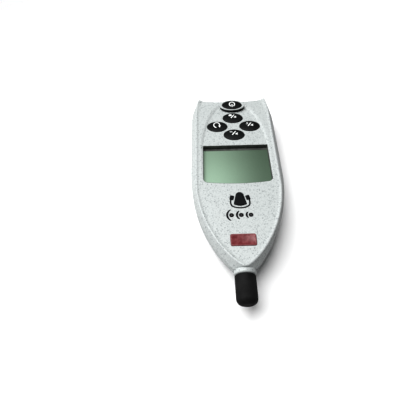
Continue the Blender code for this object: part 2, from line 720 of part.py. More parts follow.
def make_contact_spring(index, x, wall_y, direction):
    """Conical contact spring between a contact plate and the flat end of a cell."""
    turns = 2.5
    count = 36
    length = 0.0030
    curve = bpy.data.curves.new(f"contact_spring_{index}", "CURVE")
    curve.dimensions = "3D"
    curve.bevel_depth = 0.0003
    curve.bevel_resolution = 1
    curve.use_fill_caps = True
    spline = curve.splines.new("POLY")
    spline.points.add(count - 1)
    for i, point in enumerate(spline.points):
        t = i / (count - 1)
        angle = math.tau * turns * t
        radius = 0.0038 - 0.0018 * t
        point.co = (x + radius * math.cos(angle), wall_y + direction * length * t,
                    CELL_Z + radius * math.sin(angle), 1)
    add_object(f"contact_spring_{index}", curve, "contact_nickel")


def make_battery_bay():
    """Frame round the two cells, contact plates, springs and the cells."""
    low_z = DOOR_THICKNESS + 2 * GAP
    high_z = BOARD_TOP_Z - BOARD_THICKNESS - GAP
    frame = box("battery_frame", (-BAY_HALF, BAY_Y[0], low_z), (BAY_HALF, BAY_Y[1], high_z), "black_plastic")
    inside = box("cut_frame", (-BAY_HALF + BAY_WALL, BAY_Y[0] + BAY_WALL, 0.0),
                 (BAY_HALF - BAY_WALL, BAY_Y[1] - BAY_WALL, 0.03))
    combine(frame, [inside], "DIFFERENCE")
    near_y = BAY_Y[0] + BAY_WALL + GAP
    far_y = BAY_Y[1] - BAY_WALL - GAP
    for name, y in (("contact_plate_near", near_y), ("contact_plate_far", far_y - CONTACT)):
        box(name, (-0.0145, y, CELL_Z - 0.0050), (0.0145, y + CONTACT, CELL_Z + 0.0050), "contact_nickel")
    reach = CELL_LENGTH + CELL_BUTTON + GAP + CONTACT
    make_cell(1, -CELL_X, near_y + reach, turn=90)
    make_cell(2, CELL_X, far_y - reach, turn=-90)
    make_contact_spring(1, -CELL_X, far_y - CONTACT - 0.0007, -1)
    make_contact_spring(2, CELL_X, near_y + CONTACT + 0.0007, 1)


def make_case_screws():
    """Pan head screws from the back into the front shell's posts."""
    shank = SCREW_END_Z - SCREW_SEAT_Z
    profile = [(0.0, shank), (SCREW_RADIUS * 0.6, shank), (SCREW_RADIUS, shank - 0.0008), (SCREW_RADIUS, -GAP),
               (SCREW_HEAD_RADIUS, -GAP), (SCREW_HEAD_RADIUS, -0.0011), (0.0015, -0.0018), (0.0, -0.0018)]
    for name, place in SCREW_PLACES.items():
        turned(name, profile, "screw_steel", (*place, SCREW_SEAT_Z), steps=20)


clear_scene()
PARTS = new_collection("sound_level_meter")
CUTTERS = new_collection("sound_level_meter_cutters")

case_outer, case_hollow = make_case_body()
far_end_cut = far_end_cutter()
tube_hole = turned("cut_tube_hole", [(0.0, 0.075), (COLLAR_BORE, 0.075), (COLLAR_BORE, 0.050), (0.0, 0.050)],
                   place=(0, 0, AXIS_Z), along_y=True)
make_front_shell(case_outer, case_hollow, far_end_cut, tube_hole)
make_rear_shell(case_outer, case_hollow, far_end_cut, tube_hole)
make_battery_door(case_outer, far_end_cut)
make_display()
make_keys()
make_board()
make_badge()
make_tip()
make_battery_bay()
make_case_screws()
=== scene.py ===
import math

import bmesh
import bpy
from mathutils import Matrix, Vector, kdtree


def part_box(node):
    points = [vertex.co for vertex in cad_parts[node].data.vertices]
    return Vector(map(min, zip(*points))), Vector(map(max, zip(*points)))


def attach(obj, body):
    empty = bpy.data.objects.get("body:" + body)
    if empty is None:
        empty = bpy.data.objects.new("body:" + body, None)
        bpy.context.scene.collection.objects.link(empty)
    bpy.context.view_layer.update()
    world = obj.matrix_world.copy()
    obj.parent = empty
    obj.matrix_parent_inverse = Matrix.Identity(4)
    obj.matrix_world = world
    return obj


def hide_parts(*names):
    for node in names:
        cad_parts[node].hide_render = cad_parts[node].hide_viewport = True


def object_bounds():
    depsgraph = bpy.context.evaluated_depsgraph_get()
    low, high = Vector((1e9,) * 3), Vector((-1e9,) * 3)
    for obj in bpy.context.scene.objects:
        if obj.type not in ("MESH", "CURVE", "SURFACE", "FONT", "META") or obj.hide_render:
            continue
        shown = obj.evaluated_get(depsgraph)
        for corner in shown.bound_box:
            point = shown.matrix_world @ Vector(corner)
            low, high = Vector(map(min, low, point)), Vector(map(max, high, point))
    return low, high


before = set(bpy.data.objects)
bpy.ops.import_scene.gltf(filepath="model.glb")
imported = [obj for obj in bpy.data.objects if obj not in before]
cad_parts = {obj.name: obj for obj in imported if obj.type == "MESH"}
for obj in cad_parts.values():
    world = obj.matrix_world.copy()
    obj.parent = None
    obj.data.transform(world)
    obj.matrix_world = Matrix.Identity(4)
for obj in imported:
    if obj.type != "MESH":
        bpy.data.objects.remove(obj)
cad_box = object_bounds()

# ---- places read from the frame
MM = 0.001
CORNERS = ((1, 1), (-1, 1), (-1, -1), (1, -1))
GAP = 0.3 * MM  # kept between neighbouring meshes, as in the CAD


def low(node):
    return Vector(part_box(node)[0])


def high(node):
    return Vector(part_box(node)[1])


def middle(node):
    return (low(node) + high(node)) / 2


def half_size(node):
    return (high(node) - low(node)) / 2


HALF_WIDTH = high("rear_shell").x
HALF_LENGTH = high("rear_shell").y
PARTING_Z = high("rear_shell").z + GAP / 2
AXIS_Z = middle("tip_cap").z
BEZEL_SINK = 0.15 * MM
FACE_Z = high("display_bezel").z + BEZEL_SINK

# plan of the case: straight flanks, then half width = W (1 - t^2)^0.75 down the nose
NOSE_POWER = 0.75
CREST_HALF = 29.3 * MM
CREST_NOSE = (0.0, 63.3 * MM)
CREST_TAPER = 2.3 * MM
WIDE_NOSE = (10 * MM, 78 * MM)
WIDE_TAPER = 4.3 * MM
WALL_LEAN = 0.8 * MM
NOSE_END_Y = -63 * MM
FAR_START_Y = 60 * MM
FAR_END_Y = 80.8 * MM
EAR_X = 27 * MM
EAR_REACH = HALF_LENGTH - FAR_START_Y
OVERRUN = 3 * MM

# face: a rim along the crest, shoulders that rise toward the far end, and a sunken key panel
RIM_HEIGHT = 0.45 * MM
EAR_RISE = 0.5 * MM
RIM_BAND = 1.4 * MM
EAR_BAND = 2.0 * MM
RIM_TOP = 0.80 * MM
RIM_ROLL = 0.30 * MM
RIM_SINK = 0.08 * MM
FAR_ROLL = 1.1 * MM
SHOULDER_RISE = 1.0 * MM
SHOULDER_POWER = 0.6
SHOULDER_START_Y = -2 * MM
STEP_INSIDE = 2.0 * MM
STEP_SLOPE = 0.42
STEP_START_Y = SHOULDER_START_Y - 4 * MM
PANEL_CENTRE_Y = 23 * MM
PANEL_HALF = (26 * MM, 58 * MM)
BLEND_RIM = 0.25 * MM
BLEND_PANEL = 0.3 * MM
BLEND_STEP = 0.35 * MM

# walls and back
TOP_WALL = 2.4 * MM
SIDE_WALL = 2.2 * MM
FAR_WALL = 1.2 * MM
BACK_WALL = 2.0 * MM
WALL_Z = 20 * MM
WALL_BEND = (0.58, 0.50)
GROOVE = 0.6 * MM
WAIST_Z = 17 * MM
FLANK_POWER = 4.6
NOSE_POWER_LOSS = 2.3
BACK_FLAT = 0.35 * MM
NOSE_LIFT = 10.3 * MM
NOSE_LIFT_START_Y = -15 * MM
NOSE_LIFT_REACH = 48 * MM
FAR_LIFT = 1.2 * MM
FAR_LIFT_START_Y = 74 * MM
FAR_LIFT_REACH = 7.5 * MM

# openings, and the heights between which their cutting tools reach
WINDOW_HALF = high("display_bezel").x + GAP
WINDOW_FAR_Y = high("display_bezel").y + GAP
WINDOW_NEAR_Y = -2.2 * MM
WINDOW_BULGE = 1.3 * MM
WINDOW_CORNER = 3.5 * MM
GUIDE_HOLE = 1.55 * MM
BADGE_GAP = 0.12 * MM
BADGE_CORNER = 1.3 * MM
BOSS_SEAT = 1.0 * MM
CUT_LOW_Z = FACE_Z - 8 * MM
CUT_HIGH_Z = FACE_Z + 6 * MM
SMALL_CUT_HIGH_Z = FACE_Z + 3 * MM
UNDER_Z = -2 * MM
OVER_Z = 0.036
PAST_END_Y = 100 * MM
TUBE_BORE = 5.0 * MM
TUBE_SPAN = (75 * MM, 50 * MM)

# keys, their collar and the printing
KEY_HALF = (7.75 * MM, 5.45 * MM)
POWER_HALF = (7.75 * MM, 4.85 * MM)
BOSS_HALF = (10.0 * MM, 6.0 * MM)
KEY_DOME = 0.6 * MM
KEY_FLANGE = 0.8 * MM
KEY_PLUNGER = 1.8 * MM
LEDGE_Z = FACE_Z - TOP_WALL - GAP
SYMBOL_STRETCH = 1.25
SYMBOL_HEIGHT = 0.06 * MM
INK_HEIGHT = 0.03 * MM
DOME_RATIOS = (0, 0.15, 0.3, 0.45, 0.6, 0.72, 0.82, 0.90, 0.955)
KEY_SHOULDER = ((0.980, 0.02), (0.993, 0.16), (1.0, 0.40))
KEYS = {"key_upper": "upper_key", "key_left": "left_key", "key_right": "right_key",
        "key_lower": "lower_key", "power_key": "power_key"}

# linear RGB tones
PLASTIC_TONES = ((0.478, 0.505, 0.500), (0.502, 0.530, 0.525))
SMUDGE_TONE = (0.265, 0.290, 0.295)
FLECK_TONE = (0.150, 0.168, 0.175)
# the display's dark and pale tones are the two ends of a painted reflection across the cell
DISPLAY_SHADE_AND_REFLECTION_TONES = ((0.040, 0.063, 0.042), (0.252, 0.350, 0.270))
DISPLAY_DOT_TONE = (0.03, 0.06, 0.035)
WINDOW_TINT = (0.92, 0.96, 0.94, 1.0)
BADGE_TONES = ((0.145, 0.019, 0.023), (0.235, 0.062, 0.066))
MASK_TONE = (0.010, 0.105, 0.040)
TRACK_TONE = (0.022, 0.190, 0.075)
BOARD_STAIN = (0.006, 0.070, 0.028)
JACKET_TONE = (0.030, 0.032, 0.038)
JACKET_BAND_TONE = (0.42, 0.20, 0.06)
JACKET_SCUFF_TONE = (0.09, 0.09, 0.10)
FLOOR_TONES = ((0.915, 0.915, 0.915), (0.930, 0.930, 0.930))
FLOOR_BOUNCE = (0.54, 0.54, 0.54)
WHITE = (1.0, 1.0, 1.0, 1.0)

# flecks in the plastic: cells per metre, reach in a cell, share of cells left plain, strength
FLECKS = ((900, 0.48, 0.60, 0.65), (1800, 0.48, 0.57, 0.50), (560, 0.30, 0.66, 0.85))
FLECK_CORE = 0.30
FLECK_EDGE = 0.04

# camera: yaw, downward pitch and roll in degrees, place in metres, lens and sensor in millimetres
CAMERA_ANGLES = (0.69, 57.36, -2.01)
CAMERA_PLACE = (-0.01986, -0.12932, FACE_Z + 0.16626)
CAMERA_LENS = 26.39
CAMERA_SENSOR = 36.0

# softboxes: name, direction, distance and size in metres, power in watts
SOFTBOXES = (("softbox_top", (-0.29, 0.12, 0.95), 1.5, 1.2, 35.4),
             ("softbox_left", (-0.92, 0.06, 0.38), 0.78, 0.60, 3.2))
SURROUND_LIGHT = 0.09
VIEW_GAMMA = 0.78
FLOOR_RADIUS = 0.42
FLOOR_SINK = 0.02 * MM


# ---- materials
def fill(node, **values):
    """Set a node's inputs; an underscore stands for a space in an input's name."""
    for key, value in values.items():
        node.inputs[key.replace("_", " ")].default_value = value


class Nodes:
    """Short way to build a node material: each method adds a node and returns the socket that matters."""

    def __init__(self, name):
        self.material = bpy.data.materials.new(name)
        self.material.use_nodes = True
        self.tree = self.material.node_tree
        self.shader = self.tree.nodes["Principled BSDF"]
        self.place = self.add("ShaderNodeTexCoord").outputs["Object"]

    def add(self, kind, **settings):
        node = self.tree.nodes.new(kind)
        for key, value in settings.items():
            setattr(node, key, value)
        return node

    def link(self, source, target):
        self.tree.links.new(source, target)

    def drive(self, name, value):
        self.link(value, self.shader.inputs[name])

    def set(self, **values):
        fill(self.shader, **values)

    def noise(self, scale, detail=3.0, rough=0.55, stretch=None):
        node = self.add("ShaderNodeTexNoise")
        fill(node, Scale=scale, Detail=detail, Roughness=rough)
        self.link(self.stretched(stretch) if stretch else self.place, node.inputs["Vector"])
        return node.outputs["Fac"]

    def stretched(self, scale):
        node = self.add("ShaderNodeMapping")
        fill(node, Scale=scale)
        self.link(self.place, node.inputs["Vector"])
        return node.outputs["Vector"]

    def cells(self, scale):
        """Voronoi cells: distance to the centre, and a random colour for each cell."""
        node = self.add("ShaderNodeTexVoronoi")
        fill(node, Scale=scale)
        self.link(self.place, node.inputs["Vector"])
        return node.outputs["Distance"], node.outputs["Color"]

    def spread(self, value, start, end, low_out=0.0, high_out=1.0):
        """Map a value from one range to another along a smooth step."""
        node = self.add("ShaderNodeMapRange", interpolation_type="SMOOTHSTEP")
        fill(node, From_Min=start, From_Max=end, To_Min=low_out, To_Max=high_out)
        self.link(value, node.inputs["Value"])
        return node.outputs["Result"]

    def colour(self, value, start, end, first, second):
        """Base colour between two tones, by a value."""
        self.drive("Base Color", self.mix(self.spread(value, start, end), first, second))

    def roughness(self, value, smooth, rough, start=0.3, end=0.7):
        self.drive("Roughness", self.spread(value, start, end, smooth, rough))

    def math(self, operation, first, second):
        node = self.add("ShaderNodeMath", operation=operation)
        for socket, value in zip(node.inputs, (first, second)):
            if isinstance(value, (int, float)):
                socket.default_value = value
            else:
                self.link(value, socket)
        return node.outputs["Value"]

    def mix(self, factor, first, second):
        """Mix two colours, each a socket or an RGB triple."""
        node = self.add("ShaderNodeMix", data_type="RGBA")
        self.link(factor, node.inputs["Factor"])
        for socket, value in ((node.inputs[6], first), (node.inputs[7], second)):
            if isinstance(value, tuple):
                socket.default_value = (*value, 1.0)
            else:
                self.link(value, socket)
        return node.outputs[2]

    def coordinate(self, axis):
        node = self.add("ShaderNodeSeparateXYZ")
        self.link(self.place, node.inputs["Vector"])
        return node.outputs[axis]

    def bump(self, height, strength, distance, edge=0.0):
        """Surface relief, over edges softened by a radius."""
        node = self.add("ShaderNodeBump")
        fill(node, Strength=strength, Distance=distance)
        self.link(height, node.inputs["Height"])
        if edge:
            bevel = self.add("ShaderNodeBevel", samples=6)
            fill(bevel, Radius=edge)
            self.link(bevel.outputs["Normal"], node.inputs["Normal"])
        self.drive("Normal", node.outputs["Normal"])


def speckled_plastic():
    """Pale moulded plastic with fine dark flecks of several sizes and a satin spark-eroded skin."""
    m = Nodes("speckled_plastic")
    tone = m.mix(m.noise(70, 2), *PLASTIC_TONES)
    smudge = m.spread(m.noise(950, 3, 0.7), 0.52, 0.66, 0.0, 0.60)
    tone = m.mix(smudge, tone, SMUDGE_TONE)
    for scale, reach, share, strength in FLECKS:
        distance, colour = m.cells(scale)
        chosen = m.spread(colour, share, share + FLECK_EDGE)
        spot = m.spread(distance, reach * FLECK_CORE, reach, 1.0, 0.0)
        fleck = m.math("MULTIPLY", m.math("MULTIPLY", chosen, spot), strength)
        tone = m.mix(fleck, tone, FLECK_TONE)
    m.drive("Base Color", tone)
    grain = m.noise(5200, 2)
    m.roughness(grain, 0.40, 0.54)
    m.set(IOR=1.5)
    m.bump(grain, 0.16, 0.00006, edge=0.0002)
    return m.material


def dark_moulding(name, colour, rough, grain=4200, relief=0.15, specular=0.35, edge=0.0002):
    """Dark moulded plastic or rubber with fine grain and slightly uneven gloss."""
    m = Nodes(name)
    fine = m.noise(grain, 3)
    broad = m.noise(160, 2)
    lighter = tuple(c * 1.5 + 0.002 for c in colour)
    m.colour(broad, 0.35, 0.7, colour, lighter)
    m.roughness(fine, rough - 0.05, rough + 0.07, 0.25, 0.75)
    m.set(Specular_IOR_Level=specular)
    m.bump(fine, relief, 0.00005, edge)
    return m.material


def printed_ink(name, colour):
    """Pad-printed ink with faint unevenness."""
    m = Nodes(name)
    lighter = tuple(min(c * 1.3 + 0.003, 1.0) for c in colour)
    m.colour(m.noise(2600, 2), 0.35, 0.75, colour, lighter)
    m.roughness(m.noise(900, 2), 0.55, 0.70)
    m.set(Specular_IOR_Level=0.1)
    return m.material


def display_green_painted_glow():
    """Idle green liquid crystal cell. A painted reflection makes it paler toward the near left corner, and
    its emission is a painted glow that keeps the shade of the opening off it.
    """
    m = Nodes("display_green_painted_glow")
    across = m.spread(m.coordinate("X"), -WINDOW_HALF, WINDOW_HALF, 0.16, 1.0)
    along = m.spread(m.coordinate("Y"), WINDOW_NEAR_Y, WINDOW_FAR_Y, 1.0, 0.65)
    # painted reflection: paler toward the near left corner, darker toward the far right
    pale = m.math("MULTIPLY", m.math("SUBTRACT", 1.16, across), along)
    tone = m.mix(pale, *DISPLAY_SHADE_AND_REFLECTION_TONES)
    dots = m.noise(1500, 1)
    tone = m.mix(m.spread(dots, 0.4, 0.65, 0.0, 0.05), tone, DISPLAY_DOT_TONE)
    m.drive("Base Color", tone)
    # painted glow: the cell gives off its own tone, so the shade of the opening does not fall on it
    m.drive("Emission Color", tone)
    m.set(Emission_Strength=0.5)
    m.roughness(dots, 0.34, 0.38)
    m.set(Specular_IOR_Level=0.2)
    return m.material


def clear_window():
    """Thin clear sheet: see-through from the front, with a reflection that grows at a glancing view."""
    m = Nodes("clear_window")
    glance = m.add("ShaderNodeFresnel")
    fill(glance, IOR=1.35)
    behind = m.add("ShaderNodeNewGeometry").outputs["Backfacing"]
    front = m.math("MULTIPLY", glance.outputs["Fac"], m.math("SUBTRACT", 1.0, behind))
    m.drive("Alpha", m.math("MULTIPLY", front, 0.7))
    m.roughness(m.noise(120, 2), 0.03, 0.07)
    m.set(Base_Color=WINDOW_TINT, Metallic=1.0)
    return m.material


def badge_red():
    """Dark red moulding, a little paler where the top has been rubbed."""
    m = Nodes("badge_red")
    m.colour(m.noise(420, 4), 0.35, 0.70, *BADGE_TONES)
    m.roughness(m.noise(1800, 2), 0.32, 0.46)
    m.bump(m.noise(3000, 2), 0.10, 0.00005, edge=0.0003)
    return m.material


def metal(name, colour, rough, stretch=(1, 1, 1), scale=3000):
    """Plated or turned metal with fine tool marks."""
    m = Nodes(name)
    marks = m.noise(scale, 2, stretch=stretch)
    darker = tuple(c * 0.72 for c in colour)
    m.colour(marks, 0.3, 0.7, darker, colour)
    m.roughness(marks, rough - 0.06, rough + 0.10)
    m.set(Metallic=1.0)
    m.bump(marks, 0.12, 0.00004, edge=0.00015)
    return m.material


def clouded(name, colour):
    """Clouded light-guide plastic."""
    m = Nodes(name)
    darker = tuple(c * 0.85 for c in colour)
    m.colour(m.noise(900, 2), 0.35, 0.65, darker, colour)
    m.roughness(m.noise(2200, 2), 0.15, 0.28)
    return m.material


def circuit_board():
    """Green solder mask with paler tracks."""
    m = Nodes("circuit_board")
    wave = m.add("ShaderNodeTexWave", wave_type="BANDS", bands_direction="DIAGONAL")
    fill(wave, Scale=260, Distortion=3.0)
    m.link(m.place, wave.inputs["Vector"])
    tracks = m.spread(wave.outputs["Fac"], 0.62, 0.70)
    tone = m.mix(tracks, MASK_TONE, TRACK_TONE)
    stain = m.spread(m.noise(500, 2), 0.4, 0.6, 0.0, 0.25)
    m.drive("Base Color", m.mix(stain, tone, BOARD_STAIN))
    m.roughness(m.noise(1500, 2), 0.30, 0.45)
    m.bump(tracks, 0.25, 0.00004)
    return m.material


def cell_jacket():
    """Plain battery jacket: dark, with a copper band at the far end and faint scuffs."""
    m = Nodes("cell_jacket")
    copper = m.spread(m.coordinate("Y"), 58 * MM, 58.3 * MM)
    tone = m.mix(copper, JACKET_TONE, JACKET_BAND_TONE)
    scuff = m.spread(m.noise(600, 2), 0.35, 0.7, 0.0, 0.3)
    m.drive("Base Color", m.mix(scuff, tone, JACKET_SCUFF_TONE))
    m.roughness(m.noise(1100, 2), 0.25, 0.38)
    m.set(Metallic=0.3)
    return m.material


def floor_white():
    """Plain white sheet with a trace of tone. It throws back less light than the camera sees."""
    m = Nodes("floor_white")
    tone = m.mix(m.noise(4, 2), *FLOOR_TONES)
    seen = m.add("ShaderNodeLightPath").outputs["Is Camera Ray"]
    m.drive("Base Color", m.mix(seen, FLOOR_BOUNCE, tone))
    m.roughness(m.noise(30, 2), 0.6, 0.7)
    m.set(Specular_IOR_Level=0.1)
    return m.material


PLASTIC = speckled_plastic()
BLACK = dark_moulding("black_plastic", (0.026, 0.027, 0.026), 0.50, specular=0.25)
# black for the display opening's lining, and for the strip that paints the shadow of its far wall
LINING_AND_SHADOW_BLACK = dark_moulding("lining_and_shadow_black", (0.078, 0.082, 0.076), 0.60, specular=0.2)
KEY_BLACK = dark_moulding("key_rubber", (0.0055, 0.0065, 0.0065), 0.46, relief=0.08, specular=0.15,
                          edge=0.0003)
CAP_BLACK = dark_moulding("cap_rubber", (0.0088, 0.0088, 0.0088), 0.66, relief=0.22, specular=0.12,
                          edge=0.0003)
CHIP_BLACK = dark_moulding("chip_black", (0.020, 0.020, 0.022), 0.55)
SWITCH_GREY = dark_moulding("switch_plastic", (0.045, 0.045, 0.050), 0.45)
STRIP_GREY = dark_moulding("contact_rubber", (0.16, 0.16, 0.17), 0.60)
INK_BLACK = printed_ink("ink_black", (0.006, 0.007, 0.008))
INK_WHITE = printed_ink("ink_white", (0.72, 0.74, 0.73))
GREEN_PAINTED_GLOW = display_green_painted_glow()
WINDOW = clear_window()
RED = badge_red()
STEEL = metal("screw_steel", (0.42, 0.43, 0.45), 0.30)
NICKEL = metal("contact_nickel", (0.74, 0.71, 0.64), 0.22)
CAPSULE = metal("microphone_metal", (0.62, 0.63, 0.64), 0.26, stretch=(1, 12, 1))
GUIDE = clouded("light_guide", (0.62, 0.65, 0.64))
SMOKED = clouded("smoked_lens", (0.075, 0.080, 0.082))
LAMP = clouded("lamp_body", (0.80, 0.78, 0.70))
BOARD = circuit_board()
JACKET = cell_jacket()


# ---- mesh helpers
def make_object(name, data):
    thing = bpy.data.objects.new(name, data)
    bpy.context.scene.collection.objects.link(thing)
    return thing


def discard(thing):
    bpy.data.objects.remove(thing, do_unlink=True)


def mesh_of(name, bm, fix_normals=True):
    mesh = bpy.data.meshes.new(name)
    if fix_normals:
        bmesh.ops.recalc_face_normals(bm, faces=bm.faces[:])
    bm.to_mesh(mesh)
    bm.free()
    return mesh


def piece(thing, body, material, slot, *stands_for, angle=32):
    """Give a finished mesh its material, and let it ride on a body in place of CAD nodes."""
    thing.data.materials.clear()
    thing.data.materials.append(material)
    thing.data.shade_smooth()
    if angle:
        thing.data.set_sharp_from_angle(angle=math.radians(angle))
    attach(thing, body)
    if stands_for:
        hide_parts(*stands_for)
    return thing


def baked(thing):
    """Apply an object's modifiers and place to its mesh."""
    depsgraph = bpy.context.evaluated_depsgraph_get()
    mesh = bpy.data.meshes.new_from_object(thing.evaluated_get(depsgraph))
    mesh.transform(thing.matrix_world)
    solid = make_object(thing.name + "_baked", mesh)
    name = thing.name
    discard(thing)
    solid.name = name
    return solid


def joined(name, things):
    """One mesh that holds several separate closed meshes, for cutting in one step."""
    bm = bmesh.new()
    for thing in things:
        bm.from_mesh(thing.data)
        discard(thing)
    return make_object(name, mesh_of(name, bm, fix_normals=False))


def cut(thing, tools, operation="DIFFERENCE"):
    """Apply a Boolean with each tool in turn, then remove the tools."""
    for tool in tools:
        step = thing.modifiers.new(tool.name, "BOOLEAN")
        step.operation = operation
        step.solver = "EXACT"
        step.object = tool
    solid = baked(thing)
    for tool in tools:
        discard(tool)
    return solid


def skin(bm, first, second, closed=True):
    """Quads between two rings or rows with the same number of vertices."""
    count = len(first)
    for i in range(count if closed else count - 1):
        j = (i + 1) % count
        bm.faces.new((first[i], first[j], second[j], second[i]))


def rings_solid(name, rings, end_to_start=False):
    """A closed solid through rings of points, with its ends capped or joined to each other."""
    bm = bmesh.new()
    loops = [[bm.verts.new(p) for p in ring] for ring in rings]
    for first, second in zip(loops, loops[1:] + loops[:1] if end_to_start else loops[1:]):
        skin(bm, first, second)
    if not end_to_start:
        bm.faces.new(loops[0])
        bm.faces.new(loops[-1])
    return make_object(name, mesh_of(name, bm))


def frame_solid(name, outer_rings, inner_rings):
    """A closed ring-shaped solid between outer and inner rings of equal point counts."""
    return rings_solid(name, outer_rings + inner_rings[::-1], end_to_start=True)


def prism(name, outline, low_z, high_z):
    """An upright solid with a flat top and bottom."""
    return rings_solid(name, [[(x, y, z) for x, y in outline] for z in (low_z, high_z)])


def turned(name, profile, centre, stretch=1.0, steps=64, along_y=False):
    """A profile of (radius, height) points turned about its axis; with along_y it rises to -Y."""
    bm = bmesh.new()
    loops = []
    for radius, height in profile:
        ring = []
        for i in range(steps if radius > 0 else 1):
            angle = math.tau * i / steps
            point = Vector((radius * math.cos(angle), stretch * radius * math.sin(angle), height))
            if along_y:
                point = Vector((point.x, -point.z, point.y))
            ring.append(bm.verts.new(point + Vector(centre)))
        loops.append(ring)
    for first, second in zip(loops, loops[1:]):
        for i in range(steps):
            j = (i + 1) % steps
            corners = [first[i % len(first)], first[j % len(first)]]
            corners += [second[j % len(second)], second[i % len(second)]]
            unique = list(dict.fromkeys(corners))
            if len(unique) > 2:
                bm.faces.new(unique)
    return make_object(name, mesh_of(name, bm))


def in_mm(points):
    return [(x * MM, y * MM) for x, y in points]


def arc(centre, radius, start, end, count):
    """Points along a circle, from one angle to another in degrees."""
    angles = [math.radians(start + (end - start) * i / (count - 1)) for i in range(count)]
    return [(centre[0] + radius * math.cos(a), centre[1] + radius * math.sin(a)) for a in angles]


def ellipse(half, centre, count=96, grow=0.0):
    angles = [math.tau * i / count for i in range(count)]
    return [(centre[0] + (half[0] + grow) * math.cos(a), centre[1] + (half[1] + grow) * math.sin(a))
            for a in angles]


def rounded_box(half, centre, corner, count=9):
    """Outline of a rectangle with round corners."""
    points = []
    for i, (sx, sy) in enumerate(CORNERS):
        at = (centre[0] + sx * (half[0] - corner), centre[1] + sy * (half[1] - corner))
        points += arc(at, corner, 90 * i, 90 * (i + 1), count)
    return points


def round_edge(radius, height, corner, angles=range(0, 91, 15)):
    """Profile points of a rounded outer edge, from an end face onto the side."""
    return [(radius - corner + corner * math.sin(math.radians(a)),
             height - corner * (1 - math.cos(math.radians(a)))) for a in angles]


# ---- case form
def nose_half(y, half, nose):
    """Half width at y; nose holds where the narrowing starts and how far it reaches."""
    t = min(max((nose[0] - y) / nose[1], 0.0), 1.0)
    return half * (1.0 - t * t) ** NOSE_POWER


def far_ratio(y):
    """0 along the case, rising to 1 at the ears of the far end."""
    return max((y - FAR_START_Y) / EAR_REACH, 0.0)


def crest_half(y):
    return nose_half(y, CREST_HALF, CREST_NOSE) - CREST_TAPER * far_ratio(y) ** 3


def wide_half(y):
    return nose_half(y, HALF_WIDTH, WIDE_NOSE) - WIDE_TAPER * far_ratio(y) ** 3


def shoulder_height(y):
    t = max((y - SHOULDER_START_Y) / (FAR_END_Y - SHOULDER_START_Y), 0.0)
    return FACE_Z + SHOULDER_RISE * t ** SHOULDER_POWER


def rim_height(y):
    return RIM_HEIGHT + EAR_RISE * far_ratio(y) ** 2


def back_height(y):
    """Height of the back, which lifts toward the nose and a little at the far end."""
    nose = min(max((NOSE_LIFT_START_Y - y) / NOSE_LIFT_REACH, 0.0), 1.0)
    far = max((y - FAR_LIFT_START_Y) / FAR_LIFT_REACH, 0.0)
    return NOSE_LIFT * nose ** 2 + FAR_LIFT * far ** 2


def back_power(y):
    """Power of the back's superellipse, squarer on the flanks than at the nose."""
    return FLANK_POWER - NOSE_POWER_LOSS * min(max(y / NOSE_END_Y, 0.0), 1.0)


def back_curve(half, top_z, bottom_z, power, count):
    """Quarter of a superellipse from the side to the middle of the back, flattened at the bottom."""
    points = []
    for i in range(1, count + 1):
        angle = math.radians(90 * i / count)
        x = half * max(math.cos(angle), 0.0) ** (2 / power) if i < count else 0.0
        z = top_z - (top_z - bottom_z + BACK_FLAT) * math.sin(angle) ** (2 / power)
        points.append((x, max(z, bottom_z)))
    return points


def soft_low(a, b, radius):
    """The lower of two heights, with the corner between them rounded."""
    h = max(radius - abs(a - b), 0.0) / radius
    return min(a, b) - h * h * radius * 0.25


def soft_high(a, b, radius):
    return -soft_low(-a, -b, radius)


def panel_outside(x, y):
    """Distance outside the sunken panel's outline, negative inside it."""
    if y < PANEL_CENTRE_Y:
        return abs(x) - PANEL_HALF[0]
    u = x / PANEL_HALF[0]
    v = (y - PANEL_CENTRE_Y) / PANEL_HALF[1]
    slope = 2 * math.hypot(u / PANEL_HALF[0], v / PANEL_HALF[1])
    return (u * u + v * v - 1) / max(slope, 1e-9)


def crest_tree():
    """Search tree of points along the crest line, for the distance from any point of the face."""
    line = []
    start_y = HALF_LENGTH + OVERRUN
    count = 900
    for i in range(count + 1):
        y = start_y - (start_y - NOSE_END_Y) * i / count
        line.append((crest_half(y), y, 0.0))
    tip_reach = 0.3 * MM
    tip_count = 40
    for i in range(tip_count):
        y = NOSE_END_Y - tip_reach * (i + 1) / tip_count
        line.append((max(crest_half(y), 0.0), y, 0.0))
    tree = kdtree.KDTree(len(line))
    for i, point in enumerate(line):
        tree.insert(point, i)
    tree.balance()
    return tree


CREST = crest_tree()


def far_edge(x):
    """Where the far end of the case lies at x: nearest in the middle, farthest at the ears."""
    return FAR_END_Y + (HALF_LENGTH - FAR_END_Y) * min(abs(x) / EAR_X, 1.0) ** 4


def face_surface(x, y):
    """Height of the face: shoulders and rim around the sunken key panel."""
    away = CREST.find((x, y, 0.0))[2]
    slope = RIM_BAND + EAR_BAND * far_ratio(y) ** 1.5
    t = min(max(away - RIM_TOP, 0.0) / slope, 1.0)
    shoulder = shoulder_height(y)
    rim = shoulder + rim_height(y) * (1.0 - t) - RIM_ROLL * max(1.0 - away / RIM_TOP, 0.0) ** 2
    top = soft_high(shoulder, rim - RIM_SINK, BLEND_RIM) if t < 1 else shoulder
    edge = max(FAR_ROLL - (far_edge(x) - y), 0.0)
    top -= FAR_ROLL - math.sqrt(max(FAR_ROLL ** 2 - edge ** 2, 0.0))
    panel = FACE_Z + max(panel_outside(x, y) + STEP_INSIDE, 0.0) * STEP_SLOPE
    panel = soft_high(FACE_Z, panel, BLEND_PANEL)
    return soft_low(top, panel, BLEND_STEP) if y > STEP_START_Y else top


def stations(far_y, near_y, step):
    """Rows along Y, closer together toward the nose end."""
    rows = [far_y - i * step for i in range(int(far_y / step) + 1)]
    count = int(-near_y / step * 1.15)
    return rows + [near_y * math.sin(math.radians(90 * i / count)) for i in range(1, count + 1)]


